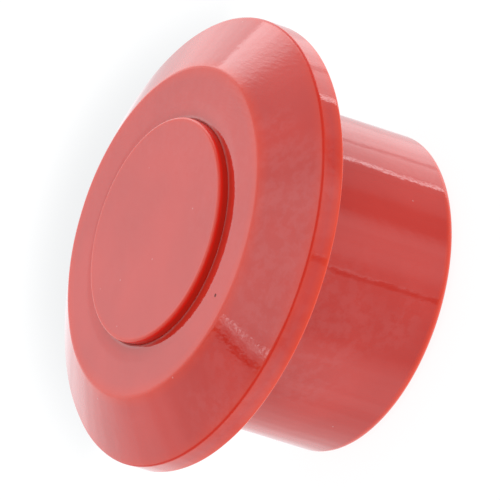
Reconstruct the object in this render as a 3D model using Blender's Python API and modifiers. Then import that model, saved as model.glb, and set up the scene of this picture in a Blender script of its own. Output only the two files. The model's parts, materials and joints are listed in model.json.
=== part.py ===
"""Round quiz buzzer: a push button in a wide flange on a plain barrel, with its electronics inside.

The constants are in millimetres and the model is built in metres. +Z points out of the button, and the origin
is the centre of the plane that the rubber feet stand on.
"""

import math

import bmesh
import bpy
from mathutils import Matrix, Vector

MM = 0.001
GAP = 0.3  # clearance between neighbouring pieces
TURN_STEPS = 48  # facets round a large turned piece
SMALL_STEPS = 16  # facets round a small turned piece
SCREW_STEPS = 12
ARC_STEPS = 2  # straight pieces in a rounded corner of a profile
MERGE = 0.00001
SHARP_ANGLE = math.radians(32)

# Outer form
FLANGE_R = 30.0
RING_R = 22.05  # where the flat ring meets the chamfer
BARREL_R = 21.4
BARREL_LENGTH = 23.2
RIM_HEIGHT = 3.2
FLANGE_HEIGHT = 7.9
BUTTON_R = 15.0
BUTTON_RISE = 1.15
BUTTON_TRAVEL = 1.0
FOOT_HEIGHT = 0.8
HOLE_FILLET = 0.25
RING_FILLET = 0.6
RIM_FRONT_FILLET = 0.5
RIM_BACK_FILLET = 0.3
BARREL_END_FILLET = 1.1
BUTTON_FILLET = 0.5

BARREL_END_Z = FOOT_HEIGHT
FLANGE_BACK_Z = BARREL_END_Z + BARREL_LENGTH
RIM_TOP_Z = FLANGE_BACK_Z + RIM_HEIGHT
RING_Z = FLANGE_BACK_Z + FLANGE_HEIGHT
BUTTON_TOP_Z = RING_Z + BUTTON_RISE

# Housing walls
WALL = 2.0
RING_THICKNESS = 2.2
RIM_WALL = 2.0
RIB_COUNT = 12
RIB_THICKNESS = 1.2
RIB_RECESS = 0.3
HOLE_R = BUTTON_R + GAP
COLLAR_R = 17.2
COLLAR_LENGTH = 6.3
BORE_R = BARREL_R - WALL
RING_UNDER_Z = RING_Z - RING_THICKNESS
COLLAR_END_Z = RING_UNDER_Z - COLLAR_LENGTH

# Button cap
CAP_THICKNESS = 2.0
CAP_WALL = 1.65
LIP_R = 16.8
LIP_HEIGHT = 1.4
LIP_TOP_Z = COLLAR_END_Z - GAP
STEM_R = 2.2

# Carrier, which the spring and the circuit board bear on
CARRIER_R = BORE_R - GAP
CARRIER_THICKNESS = 1.6
CARRIER_TOP_Z = LIP_TOP_Z - LIP_HEIGHT - BUTTON_TRAVEL - 0.7
CARRIER_BASE_Z = CARRIER_TOP_Z - CARRIER_THICKNESS
CARRIER_HOLE_R = 4.6
SEAT_R = 5.4
SEAT_HEIGHT = 1.2
CARRIER_SCREW_AT = 17.6
CARRIER_BOSS_R = 2.1
CARRIER_SCREW_ANGLES = (30, 150, 270)
CARRIER_PILOT_R = 1.05  # hole that a screw cuts its thread in
KEYWAY_R = CARRIER_BOSS_R + 0.4  # notch in the cap's lip that runs on a boss and keeps the cap from turning
SMALL_SCREW = (1.5, 1.0, 0.75)  # radius and height of the head, radius of the shank
SMALL_SCREW_HOLE_R = 1.1

# Return spring
COIL_R = 6.2
WIRE_R = 0.4
COIL_TURNS = 6
COIL_POINTS = 12  # straight pieces in a turn

# Circuit board and what stands on it
BOARD_R = 13.9
BOARD_THICKNESS = 1.6
POST_HEIGHT = 1.0
BOARD_TOP_Z = CARRIER_BASE_Z - POST_HEIGHT - GAP
BOARD_BASE_Z = BOARD_TOP_Z - BOARD_THICKNESS
BOARD_SCREW_AT = 11.0
BOARD_SCREW_ANGLES = (150, 330)
SWITCH_SIDE = 6.0
SWITCH_HEIGHT = 3.5
PLUNGER_R = 1.65
PLUNGER_LENGTH = 3.5
PLUNGER_SHOWING = 2.0
SWITCH_BASE_Z = BOARD_TOP_Z + GAP
PLUNGER_TOP_Z = SWITCH_BASE_Z + SWITCH_HEIGHT + PLUNGER_SHOWING
UNDER_BOARD_Z = BOARD_BASE_Z - GAP
SOUNDER_R = 6.0
SOUNDER_HEIGHT = 5.5
SOUNDER_AT = (0, -7.2)
CHIP_AT = (0, 5.0)
CAPACITOR_AT = (7.0, 5.5)
RESISTOR_AT = (3.2, 10.6)
TRANSISTOR_AT = (-5.5, 9.5)

# Base cover, with the battery well in its middle
COVER_THICKNESS = 2.0
COVER_R = BORE_R - GAP
COVER_TOP_Z = BARREL_END_Z + COVER_THICKNESS
COVER_SCREW_AT = 16.5
COVER_BOSS_R = 2.2
COVER_SCREW_ANGLES = (90, 210, 330)
COVER_SCREW = (1.7, 0.8, 0.95)
COVER_PILOT_R = 1.25
COVER_SCREW_HOLE_R = 1.3
HEAD_POCKET_R = 2.0
HEAD_POCKET_DEPTH = 1.2
FOOT_AT = 16.2
FOOT_R = 2.2
FOOT_SINK = 0.5
FOOT_ANGLES = (30, 150, 270)
WELL_R = 13.0
WELL_WALL = 1.0
WELL_ROOF_Z = 7.0
WELL_ROOF_THICKNESS = 1.2
WELL_TOP_Z = WELL_ROOF_Z + WELL_ROOF_THICKNESS
SLOT_LENGTH = 3.4
SLOT_WIDTH = 1.0
SLOT_SECTORS = range(0, 360, 60)
SLOT_SPREAD = (-8, 0, 8)

# Battery door, a cup with three lugs that hook behind a ledge of the cover
DOOR_R = 12.6
DOOR_RIM = 0.8
DOOR_FLOOR = 1.2
NECK_R = 11.8
CUP_R = 10.4
NECK_TOP_Z = 3.9
LEDGE_Z = BARREL_END_Z + DOOR_RIM + GAP
LUG_WIDTH = 5.0
LUG_REACH = 12.5
LUG_HEIGHT = 0.7
LUG_BASE_Z = COVER_TOP_Z + GAP
LUG_ANGLES = (0, 120, 240)
DOOR_TURN = 40  # degrees from shut to free

# Battery, a 20 mm coin cell
CELL_R = 10.0
CELL_HEIGHT = 3.2
CELL_BASE_Z = BARREL_END_Z + DOOR_FLOOR + GAP
CELL_TOP_Z = CELL_BASE_Z + CELL_HEIGHT
CONTACT_WIDTH = 4.0
CONTACT_THICKNESS = 0.3
CONTACT_TOP_Z = 9.6
NEGATIVE_TAB_X = -8.0
POSITIVE_TAB_X = 10.9
LEAD_R = 0.5


# ---- Scene, materials and placing ----


def clear_scene():
    for old in list(bpy.data.objects):
        bpy.data.objects.remove(old)


def new_collection(name):
    collection = bpy.data.collections.new(name)
    bpy.context.scene.collection.children.link(collection)
    return collection


def material(name, colour, roughness, metallic=0.0):
    made = bpy.data.materials.new(name)
    made.use_nodes = True
    shader = made.node_tree.nodes["Principled BSDF"]
    shader.inputs["Base Color"].default_value = (*colour, 1.0)
    shader.inputs["Roughness"].default_value = roughness
    shader.inputs["Metallic"].default_value = metallic
    return made


def place(name, mesh, finish, location=(0, 0, 0), turn=0):
    """A new object at a location in millimetres, turned about Z by so many degrees."""
    made = bpy.data.objects.new(name, mesh)
    PARTS.objects.link(made)
    made.location = Vector(location) * MM
    made.rotation_euler.z = math.radians(turn)
    mesh.materials.clear()
    mesh.materials.append(finish)
    return made


def polar(radius, degrees, z=0.0):
    angle = math.radians(degrees)
    return (radius * math.cos(angle), radius * math.sin(angle), z)


# ---- Shapes ----


def rounded(corners, closed):
    """Points of a profile whose corners are (radius, height, fillet)."""
    points = []
    for i, (x, z, fillet) in enumerate(corners):
        here = Vector((x, z))
        at_end = not closed and i in (0, len(corners) - 1)
        if fillet == 0 or at_end:
            points.append(here)
            continue
        to_last = (Vector(corners[i - 1][:2]) - here).normalized()
        to_next = (Vector(corners[(i + 1) % len(corners)][:2]) - here).normalized()
        half = to_last.angle(to_next) / 2
        centre = here + (to_last + to_next).normalized() * fillet / math.sin(half)
        first = here + to_last * fillet / math.tan(half) - centre
        last = here + to_next * fillet / math.tan(half) - centre
        sweep = first.angle(last)
        for step in range(ARC_STEPS + 1):
            share = step / ARC_STEPS
            spoke = first * math.sin((1 - share) * sweep) + last * math.sin(share * sweep)
            points.append(centre + spoke / math.sin(sweep))
    return points


def bake(made):
    """Applies an object's modifiers, then shades it smooth between its true edges."""
    graph = bpy.context.evaluated_depsgraph_get()
    mesh = bpy.data.meshes.new_from_object(made.evaluated_get(graph))
    made.modifiers.clear()
    made.data = mesh
    mesh.shade_smooth()
    mesh.set_sharp_from_angle(angle=SHARP_ANGLE)


def turned(name, corners, finish, closed=False, steps=TURN_STEPS, location=(0, 0, 0)):
    """A turned piece, from a profile that runs down its outer side."""
    points = rounded(corners, closed)
    count = len(points)
    edges = [(i, (i + 1) % count) for i in range(count if closed else count - 1)]
    mesh = bpy.data.meshes.new(name)
    mesh.from_pydata([(p.x * MM, 0, p.y * MM) for p in points], edges, [])
    made = place(name, mesh, finish, location)
    screw = made.modifiers.new("Turn", "SCREW")
    screw.steps = steps
    screw.render_steps = steps
    screw.use_merge_vertices = True
    screw.merge_threshold = MERGE
    bake(made)
    return made


def add_cylinder(shapes, radius, low, high, location=(0, 0, 0), segments=SMALL_STEPS):
    place_at = Matrix.Translation((location[0] * MM, location[1] * MM, (low + high) / 2 * MM))
    bmesh.ops.create_cone(
        shapes,
        cap_ends=True,
        segments=segments,
        radius1=radius * MM,
        radius2=radius * MM,
        depth=(high - low) * MM,
        matrix=place_at,
    )


def add_box(shapes, low, high, turn=0):
    """A box between two corners, turned about the Z axis of the whole."""
    low, high = Vector(low) * MM, Vector(high) * MM
    stretch = Matrix.Diagonal((*(high - low), 1))
    spin = Matrix.Rotation(math.radians(turn), 4, "Z")
    bmesh.ops.create_cube(shapes, size=1, matrix=spin @ Matrix.Translation((low + high) / 2) @ stretch)


def add_prism(shapes, outline, low, high, place_at):
    """An outline in the local XY plane, drawn out from low to high along local Z."""
    corners = [shapes.verts.new(place_at @ Vector((x * MM, y * MM, low * MM))) for x, y in outline]
    face = shapes.faces.new(corners)
    grown = bmesh.ops.extrude_face_region(shapes, geom=[face])
    tops = [item for item in grown["geom"] if isinstance(item, bmesh.types.BMVert)]
    step = place_at.to_3x3() @ Vector((0, 0, (high - low) * MM))
    bmesh.ops.translate(shapes, verts=tops, vec=step)


def stadium(length, width, arc=3):
    """The outline of a slot with round ends, lying along X."""
    reach = (length - width) / 2
    ends = []
    for side in (1, -1):
        for step in range(arc + 1):
            angle = math.pi * (step / arc - 0.5)
            x = side * (reach + width / 2 * math.cos(angle))
            ends.append((x, side * width / 2 * math.sin(angle)))
    return ends


def mesh_of(shapes, name):
    bmesh.ops.recalc_face_normals(shapes, faces=shapes.faces)
    mesh = bpy.data.meshes.new(name)
    shapes.to_mesh(mesh)
    shapes.free()
    return mesh


def combine(made, shapes, operation):
    """Joins shapes to an object, or cuts them out of it."""
    tool = bpy.data.objects.new("tool", mesh_of(shapes, "tool"))
    TOOLS.objects.link(tool)
    tool.hide_render = True
    tool.display_type = "WIRE"
    boolean = made.modifiers.new("Shape", "BOOLEAN")
    boolean.operation = operation
    boolean.object = tool
    bake(made)
    bpy.data.objects.remove(tool)


def join(made, shapes):
    combine(made, shapes, "UNION")


def cut(made, shapes):
    combine(made, shapes, "DIFFERENCE")


def solid(name, shapes, finish, location=(0, 0, 0), turn=0, bevel=0.0):
    """An object made of one shape, with its edges rounded."""
    made = place(name, mesh_of(shapes, name), finish, location, turn)
    if bevel:
        rounding = made.modifiers.new("Edges", "BEVEL")
        rounding.width = bevel * MM
        rounding.segments = 2
        rounding.limit_method = "ANGLE"
    bake(made)
    return made


def tube(name, path, radius, finish, sides=2):
    """A wire along a path, with closed ends."""
    curve = bpy.data.curves.new(name, "CURVE")
    curve.dimensions = "3D"
    curve.bevel_depth = radius * MM
    curve.bevel_resolution = sides
    curve.use_fill_caps = True
    line = curve.splines.new("POLY")
    line.points.add(len(path) - 1)
    for point, place_at in zip(line.points, path):
        point.co = (*(Vector(place_at) * MM), 1)
    drawn = bpy.data.objects.new(name, curve)
    TOOLS.objects.link(drawn)
    graph = bpy.context.evaluated_depsgraph_get()
    mesh = bpy.data.meshes.new_from_object(drawn.evaluated_get(graph))
    bpy.data.objects.remove(drawn)
    welded = bmesh.new()
    welded.from_mesh(mesh)
    bmesh.ops.remove_doubles(welded, verts=welded.verts, dist=MERGE)
    welded.to_mesh(mesh)
    welded.free()
    mesh.shade_smooth()
    mesh.set_sharp_from_angle(angle=math.radians(60))
    return place(name, mesh, finish)


def strip(name, path, finish):
    """A bent metal strip: a path in the XZ plane, made as wide as a contact and given its thickness."""
    half = CONTACT_WIDTH / 2 * MM
    points = [(x * MM, side, z * MM) for x, z in path for side in (-half, half)]
    faces = [(2 * i, 2 * i + 1, 2 * i + 3, 2 * i + 2) for i in range(len(path) - 1)]
    mesh = bpy.data.meshes.new(name)
    mesh.from_pydata(points, [], faces)
    made = place(name, mesh, finish)
    sheet = made.modifiers.new("Sheet", "SOLIDIFY")
    sheet.thickness = CONTACT_THICKNESS * MM
    sheet.offset = 0
    sheet.use_even_offset = True
    bake(made)
    return made


# ---- Shell of the buzzer ----


def housing(finish):
    """Flange and barrel in one moulding, hollow, with a guide collar for the button."""
    slope = (RING_Z - RIM_TOP_Z) / (FLANGE_R - RING_R)
    rim_inner_r = FLANGE_R - RIM_WALL
    pocket_rim_z = RING_UNDER_Z - (rim_inner_r - BARREL_R) * slope
    made = turned(
        "housing",
        [
            (HOLE_R, RING_Z, HOLE_FILLET),
            (RING_R, RING_Z, RING_FILLET),
            (FLANGE_R, RIM_TOP_Z, RIM_FRONT_FILLET),
            (FLANGE_R, FLANGE_BACK_Z, RIM_BACK_FILLET),
            (rim_inner_r, FLANGE_BACK_Z, 0),
            (rim_inner_r, pocket_rim_z, 0),
            (BARREL_R, RING_UNDER_Z, 0),
            (BARREL_R, BARREL_END_Z, BARREL_END_FILLET),
            (BORE_R, BARREL_END_Z, 0),
            (BORE_R, RING_UNDER_Z, 0),
            (COLLAR_R, RING_UNDER_Z, 0),
            (COLLAR_R, COLLAR_END_Z, 0),
            (HOLE_R, COLLAR_END_Z, 0),
        ],
        finish,
        closed=True,
    )
    join(made, flange_ribs(rim_inner_r, pocket_rim_z))
    join(made, bosses(COVER_SCREW_ANGLES, COVER_SCREW_AT, COVER_BOSS_R, COVER_TOP_Z + GAP, BOARD_BASE_Z))
    join(made, webs(COVER_SCREW_ANGLES, COVER_SCREW_AT, COVER_TOP_Z + 2 * GAP, BOARD_BASE_Z - GAP))
    carrier_boss_top = RING_Z - RING_THICKNESS / 2
    join(
        made,
        bosses(
            CARRIER_SCREW_ANGLES, CARRIER_SCREW_AT, CARRIER_BOSS_R, CARRIER_TOP_Z + GAP, carrier_boss_top
        ),
    )
    join(made, webs(CARRIER_SCREW_ANGLES, CARRIER_SCREW_AT, CARRIER_TOP_Z + 2 * GAP, carrier_boss_top - GAP))
    cut(made, bosses(COVER_SCREW_ANGLES, COVER_SCREW_AT, COVER_PILOT_R, BARREL_END_Z, BOARD_BASE_Z - 2))
    pilot_end_z = RING_UNDER_Z - 2
    cut(made, bosses(CARRIER_SCREW_ANGLES, CARRIER_SCREW_AT, CARRIER_PILOT_R, CARRIER_TOP_Z, pilot_end_z))
    return made


def flange_ribs(rim_inner_r, pocket_rim_z):
    """Radial ribs in the pocket behind the flange, sunk a little below its back face."""
    root = 0.4
    outline = [
        (BARREL_R - root, FLANGE_BACK_Z + RIB_RECESS),
        (rim_inner_r + root, FLANGE_BACK_Z + RIB_RECESS),
        (rim_inner_r + root, pocket_rim_z + root),
        (BARREL_R - root, RING_UNDER_Z + root),
    ]
    shapes = bmesh.new()
    upright = Matrix.Rotation(math.radians(90), 4, "X")
    for number in range(RIB_COUNT):
        spin = Matrix.Rotation(math.tau * number / RIB_COUNT, 4, "Z")
        add_prism(shapes, outline, -RIB_THICKNESS / 2, RIB_THICKNESS / 2, spin @ upright)
    return shapes


def bosses(angles, at, radius, low, high):
    shapes = bmesh.new()
    for angle in angles:
        add_cylinder(shapes, radius, low, high, polar(at, angle))
    return shapes


def webs(angles, at, low, high):
    """Webs that tie bosses to the barrel wall."""
    half_width = 1.5
    shapes = bmesh.new()
    for angle in angles:
        add_box(shapes, (at, -half_width, low), (BORE_R + WALL / 3, half_width, high), angle)
    return shapes


def button_cap(finish):
    """An inverted cup with a stem, held in by a lip that stops under the collar."""
    inside_z = BUTTON_TOP_Z - CAP_THICKNESS
    lip_base_z = LIP_TOP_Z - LIP_HEIGHT
    seat_z = inside_z - SEAT_HEIGHT
    stem_z = PLUNGER_TOP_Z + GAP
    made = turned(
        "button_cap",
        [
            (0, BUTTON_TOP_Z, 0),
            (BUTTON_R, BUTTON_TOP_Z, BUTTON_FILLET),
            (BUTTON_R, LIP_TOP_Z, 0),
            (LIP_R, LIP_TOP_Z, 0),
            (LIP_R, lip_base_z, 0),
            (BUTTON_R - CAP_WALL, lip_base_z, 0),
            (BUTTON_R - CAP_WALL, inside_z, 0),
            (SEAT_R, inside_z, 0),
            (SEAT_R, seat_z, 0),
            (SEAT_R - 1, seat_z, 0),
            (SEAT_R - 1, inside_z, 0),
            (STEM_R, inside_z, 0),
            (STEM_R, stem_z, 0),
            (0, stem_z, 0),
        ],
        finish,
    )
    cut(made, bosses(CARRIER_SCREW_ANGLES, CARRIER_SCREW_AT, KEYWAY_R, lip_base_z - 1, LIP_TOP_Z + 1))
    return made


def base_cover(finish):
    """Plate in the barrel's end: the battery well, screw and foot pockets, and slots for the sound."""
    made = turned(
        "base_cover",
        [
            (0, WELL_TOP_Z, 0),
            (WELL_R + WELL_WALL, WELL_TOP_Z, 0.4),
            (WELL_R + WELL_WALL, COVER_TOP_Z, 0),
            (COVER_R, COVER_TOP_Z, 0),
            (COVER_R, BARREL_END_Z, 0),
            (DOOR_R + GAP, BARREL_END_Z, 0),
            (DOOR_R + GAP, LEDGE_Z, 0),
            (NECK_R + GAP, LEDGE_Z, 0),
            (NECK_R + GAP, COVER_TOP_Z, 0),
            (WELL_R, COVER_TOP_Z, 0),
            (WELL_R, WELL_ROOF_Z, 0),
            (0, WELL_ROOF_Z, 0),
        ],
        finish,
    )
    join(made, door_stops())
    cut(made, bosses(COVER_SCREW_ANGLES, COVER_SCREW_AT, COVER_SCREW_HOLE_R, 0, COVER_TOP_Z + 1))
    pocket_top_z = BARREL_END_Z + HEAD_POCKET_DEPTH
    cut(made, bosses(COVER_SCREW_ANGLES, COVER_SCREW_AT, HEAD_POCKET_R, 0, pocket_top_z))
    cut(made, bosses(FOOT_ANGLES, FOOT_AT, FOOT_R + GAP, 0, BARREL_END_Z + FOOT_SINK + GAP))
    cut(made, lug_gates())
    cut(made, sound_slots())
    cut(made, contact_slots())
    return made


def door_stops():
    """Pegs in the well that stop the door's lugs at shut and at free."""
    shapes = bmesh.new()
    lug_half = math.degrees(LUG_WIDTH / 2 / LUG_REACH)
    for lug in LUG_ANGLES:
        for angle in (lug - lug_half - 4.5, lug + DOOR_TURN + lug_half + 4.5):
            low = (NECK_R + GAP, -0.5, COVER_TOP_Z - GAP)
            high = (WELL_R + WELL_WALL / 2, 0.5, LUG_BASE_Z + LUG_HEIGHT)
            add_box(shapes, low, high, angle)
    return shapes


def lug_gates():
    """Gates in the ledge, where the turned door drops out."""
    half_width = LUG_WIDTH / 2 + 0.4
    shapes = bmesh.new()
    for lug in LUG_ANGLES:
        low = (NECK_R - 0.2, -half_width, LEDGE_Z - GAP)
        high = (WELL_R - 0.1, half_width, COVER_TOP_Z + 0.1)
        add_box(shapes, low, high, lug + DOOR_TURN)
    return shapes


def sound_slots():
    """Radial slots in the plate, in groups between the feet and the screws."""
    shapes = bmesh.new()
    outline = stadium(SLOT_LENGTH, SLOT_WIDTH)
    for sector in SLOT_SECTORS:
        for spread in SLOT_SPREAD:
            spin = Matrix.Rotation(math.radians(sector + spread), 4, "Z")
            out = Matrix.Translation((COVER_SCREW_AT * MM, 0, 0))
            add_prism(shapes, outline, 0, COVER_TOP_Z + 1, spin @ out)
    return shapes


def contact_slots():
    """Slots in the well's roof that the battery contacts pass through."""
    half_width = CONTACT_WIDTH / 2 + GAP
    half_slot = CONTACT_THICKNESS / 2 + GAP
    shapes = bmesh.new()
    for x in (NEGATIVE_TAB_X, POSITIVE_TAB_X):
        low = (x - half_slot, -half_width, WELL_ROOF_Z - 0.5)
        add_box(shapes, low, (x + half_slot, half_width, WELL_TOP_Z + 0.5))
    return shapes


def battery_door(finish):
    """A cup that the cell sits in, with three lugs and a coin slot."""
    base = BARREL_END_Z
    made = turned(
        "battery_door",
        [
            (0, DOOR_FLOOR, 0),
            (CUP_R, DOOR_FLOOR, 0),
            (CUP_R, NECK_TOP_Z - base, 0),
            (NECK_R, NECK_TOP_Z - base, 0.2),
            (NECK_R, DOOR_RIM, 0),
            (DOOR_R, DOOR_RIM, 0),
            (DOOR_R, 0, 0.3),
            (0, 0, 0),
        ],
        finish,
        location=(0, 0, base),
    )
    lugs = bmesh.new()
    for angle in LUG_ANGLES:
        low = (CUP_R + 0.6, -LUG_WIDTH / 2, LUG_BASE_Z)
        high = (LUG_REACH, LUG_WIDTH / 2, LUG_BASE_Z + LUG_HEIGHT)
        add_box(lugs, low, high, angle)
    join(made, lugs)
    coin_slot = bmesh.new()
    add_prism(coin_slot, stadium(15, 1.8), -1, 0.7 + base, Matrix.Identity(4))
    cut(made, coin_slot)
    return made


def foot(number, finish):
    angle = FOOT_ANGLES[number]
    corners = [
        (0, FOOT_HEIGHT + FOOT_SINK, 0),
        (FOOT_R, FOOT_HEIGHT + FOOT_SINK, 0),
        (FOOT_R, 0, 0.3),
        (0, 0, 0),
    ]
    return turned(f"foot_{number + 1}", corners, finish, steps=SMALL_STEPS, location=polar(FOOT_AT, angle))


# ---- Spring, carrier and board ----


def return_spring(finish):
    """A coil between the carrier and the cap, with its first and last turns closed up."""
    low = CARRIER_TOP_Z + GAP + WIRE_R
    high = BUTTON_TOP_Z - CAP_THICKNESS - GAP - WIRE_R
    closed_pitch = 2 * WIRE_R + 0.1
    open_turns = COIL_TURNS - 2
    open_pitch = (high - low - 2 * closed_pitch) / open_turns
    path = []
    z = low
    for step in range(COIL_TURNS * COIL_POINTS + 1):
        turns = step / COIL_POINTS
        path.append(polar(COIL_R, 360 * turns, z))
        pitch = open_pitch if 1 <= turns < COIL_TURNS - 1 else closed_pitch
        z += pitch / COIL_POINTS
    return tube("return_spring", path, WIRE_R, finish)


def switch_carrier(finish):
    """Plate screwed to the housing: the spring's seat above, the board's posts below."""
    made = turned(
        "switch_carrier",
        [
            (CARRIER_HOLE_R, CARRIER_TOP_Z + SEAT_HEIGHT, 0),
            (SEAT_R, CARRIER_TOP_Z + SEAT_HEIGHT, 0),
            (SEAT_R, CARRIER_TOP_Z, 0),
            (CARRIER_R, CARRIER_TOP_Z, 0),
            (CARRIER_R, CARRIER_BASE_Z, 0),
            (CARRIER_HOLE_R, CARRIER_BASE_Z, 0),
        ],
        finish,
        closed=True,
    )
    below, above = CARRIER_BASE_Z - POST_HEIGHT, CARRIER_TOP_Z + 1
    join(made, bosses(BOARD_SCREW_ANGLES, BOARD_SCREW_AT, 2.2, below, CARRIER_BASE_Z + 0.4))
    cut(made, bosses(BOARD_SCREW_ANGLES, BOARD_SCREW_AT, SMALL_SCREW_HOLE_R, below - 1, above))
    cut(made, bosses(CARRIER_SCREW_ANGLES, CARRIER_SCREW_AT, SMALL_SCREW_HOLE_R, below, above))
    notch_r = COVER_BOSS_R + 0.4
    cut(made, bosses(COVER_SCREW_ANGLES, COVER_SCREW_AT, notch_r, below, above))
    passages = bmesh.new()
    for angle in COVER_SCREW_ANGLES:
        add_box(passages, (COVER_SCREW_AT, -notch_r, below), (BARREL_R, notch_r, above), angle)
    cut(made, passages)
    return made


def circuit_board(finish):
    shapes = bmesh.new()
    add_cylinder(shapes, BOARD_R, BOARD_BASE_Z, BOARD_TOP_Z, segments=48)
    made = solid("circuit_board", shapes, finish)
    below, above = BOARD_BASE_Z - 1, BOARD_TOP_Z + 1
    cut(made, bosses(BOARD_SCREW_ANGLES, BOARD_SCREW_AT, SMALL_SCREW_HOLE_R, below, above))
    return made


def switch_body(finish):
    shapes = bmesh.new()
    half = SWITCH_SIDE / 2
    add_box(shapes, (-half, -half, 0), (half, half, SWITCH_HEIGHT))
    made = solid("switch_body", shapes, finish, (0, 0, SWITCH_BASE_Z), bevel=0.3)
    well = bmesh.new()
    floor = SWITCH_BASE_Z + 0.6
    add_cylinder(well, PLUNGER_R + GAP, floor, SWITCH_BASE_Z + SWITCH_HEIGHT + 1)
    cut(made, well)
    return made


def switch_plunger(finish):
    corners = [(0, 0, 0), (PLUNGER_R, 0, 0.3), (PLUNGER_R, -PLUNGER_LENGTH, 0), (0, -PLUNGER_LENGTH, 0)]
    return turned("switch_plunger", corners, finish, steps=SMALL_STEPS, location=(0, 0, PLUNGER_TOP_Z))


def sounder(finish):
    """A drum with a sound hole in its face, hanging under the board."""
    wall = 1.0
    corners = [
        (0, 0, 0),
        (SOUNDER_R, 0, 0),
        (SOUNDER_R, -SOUNDER_HEIGHT, 0.4),
        (1.2, -SOUNDER_HEIGHT, 0),
        (1.2, wall - SOUNDER_HEIGHT, 0),
        (SOUNDER_R - wall, wall - SOUNDER_HEIGHT, 0),
        (SOUNDER_R - wall, -wall, 0),
        (0, -wall, 0),
    ]
    return turned("sounder", corners, finish, steps=24, location=(*SOUNDER_AT, UNDER_BOARD_Z))


def sound_chip(finish):
    """Eight-legged chip under the board."""
    length, width, height = 5.0, 4.0, 1.5
    shapes = bmesh.new()
    add_box(shapes, (-length / 2, -width / 2, -height), (length / 2, width / 2, -GAP))
    x, y = CHIP_AT
    made = solid("sound_chip", shapes, finish, (x, y, UNDER_BOARD_Z), bevel=0.15)
    legs = bmesh.new()
    pitch = 1.27
    for number in range(4):
        leg_x = x + (number - 1.5) * pitch
        for side in (-1, 1):
            inner, outer = sorted((side * (width / 2 - 0.3), side * (width / 2 + 0.8)))
            low = (leg_x - 0.2, y + inner, UNDER_BOARD_Z - 0.85)
            add_box(legs, low, (leg_x + 0.2, y + outer, UNDER_BOARD_Z - 0.6))
    join(made, legs)
    return made


def capacitor(finish):
    radius, height = 2.0, 5.0
    corners = [
        (0, 0, 0),
        (radius, 0, 0.2),
        (radius, -0.6, 0),
        (radius - 0.25, -0.9, 0),
        (radius, -1.2, 0),
        (radius, -height, 0.3),
        (0, -height, 0),
    ]
    return turned("capacitor", corners, finish, steps=SMALL_STEPS, location=(*CAPACITOR_AT, UNDER_BOARD_Z))


def resistor(finish):
    """A dumbbell body on its leads, lying along X."""
    corners = [
        (0, 4.6, 0),
        (0.3, 4.6, 0),
        (0.3, 2.8, 0),
        (1.15, 2.8, 0),
        (1.15, 1.6, 0),
        (0.9, 1.3, 0),
        (0.9, -1.3, 0),
        (1.15, -1.6, 0),
        (1.15, -2.8, 0),
        (0.3, -2.8, 0),
        (0.3, -4.6, 0),
        (0, -4.6, 0),
    ]
    made = turned("resistor", corners, finish, steps=12, location=(*RESISTOR_AT, UNDER_BOARD_Z - 1.3))
    made.rotation_euler.y = math.radians(90)
    return made


def transistor(finish):
    """A round-backed package with one flat face."""
    radius, height = 2.3, 4.5
    x, y = TRANSISTOR_AT
    top = UNDER_BOARD_Z - GAP
    shapes = bmesh.new()
    add_cylinder(shapes, radius, -height, 0)
    made = solid("transistor", shapes, finish, (x, y, top))
    flat = bmesh.new()
    low = (x - 2 * radius, y + 1.3, top - 2 * height)
    add_box(flat, low, (x + 2 * radius, y + 2 * radius, top + 1))
    cut(made, flat)
    return made


# ---- Battery and its wiring ----


def battery(finish):
    shoulder = 1.0
    corners = [
        (0, CELL_HEIGHT, 0),
        (CELL_R - shoulder - 0.3, CELL_HEIGHT, 0.2),
        (CELL_R - shoulder, CELL_HEIGHT - 0.35, 0),
        (CELL_R, CELL_HEIGHT - 0.5, 0.3),
        (CELL_R, 0, 0.3),
        (0, 0, 0),
    ]
    return turned("battery", corners, finish, steps=36, location=(0, 0, CELL_BASE_Z))


def contact_negative(finish):
    """Leaf that bears on the cell's middle, with a tab up through the well's roof."""
    x = NEGATIVE_TAB_X
    touch_z = CELL_TOP_Z + GAP + CONTACT_THICKNESS / 2
    leaf_z = WELL_ROOF_Z - GAP - CONTACT_THICKNESS
    tab = [(x, CONTACT_TOP_Z), (x, leaf_z), (x + 1.5, leaf_z)]
    leaf = [(-1.5, touch_z), (1.5, touch_z), (3.5, leaf_z)]
    return strip("contact_negative", tab + leaf, finish)


def contact_positive(finish):
    """Spring blade beside the cell's can, with a tab up through the well's roof."""
    x = POSITIVE_TAB_X
    path = [(x, NECK_TOP_Z + 0.6), (x - 0.4, NECK_TOP_Z + 1.2), (x, NECK_TOP_Z + 1.9), (x, CONTACT_TOP_Z)]
    return strip("contact_positive", path, finish)


def battery_wire(name, start_x, end, finish):
    """A lead from a contact's tab up to the board, eased through a bend."""
    start = Vector((start_x, 0, WELL_TOP_Z + GAP + LEAD_R + 0.2))
    stop = Vector((*end, UNDER_BOARD_Z))
    out = Vector((math.copysign(2.0, start_x), 0, 0))
    pull = Vector((0, 0, -4.0))
    path = []
    steps = 12
    for step in range(steps + 1):
        t = step / steps
        early, late = (1 - t) ** 3 * start, t**3 * stop
        middle = 3 * t * (1 - t) * ((1 - t) * (start + out) + t * (stop + pull))
        path.append(early + middle + late)
    return tube(name, path, LEAD_R, finish)


# ---- Fasteners ----


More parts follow.
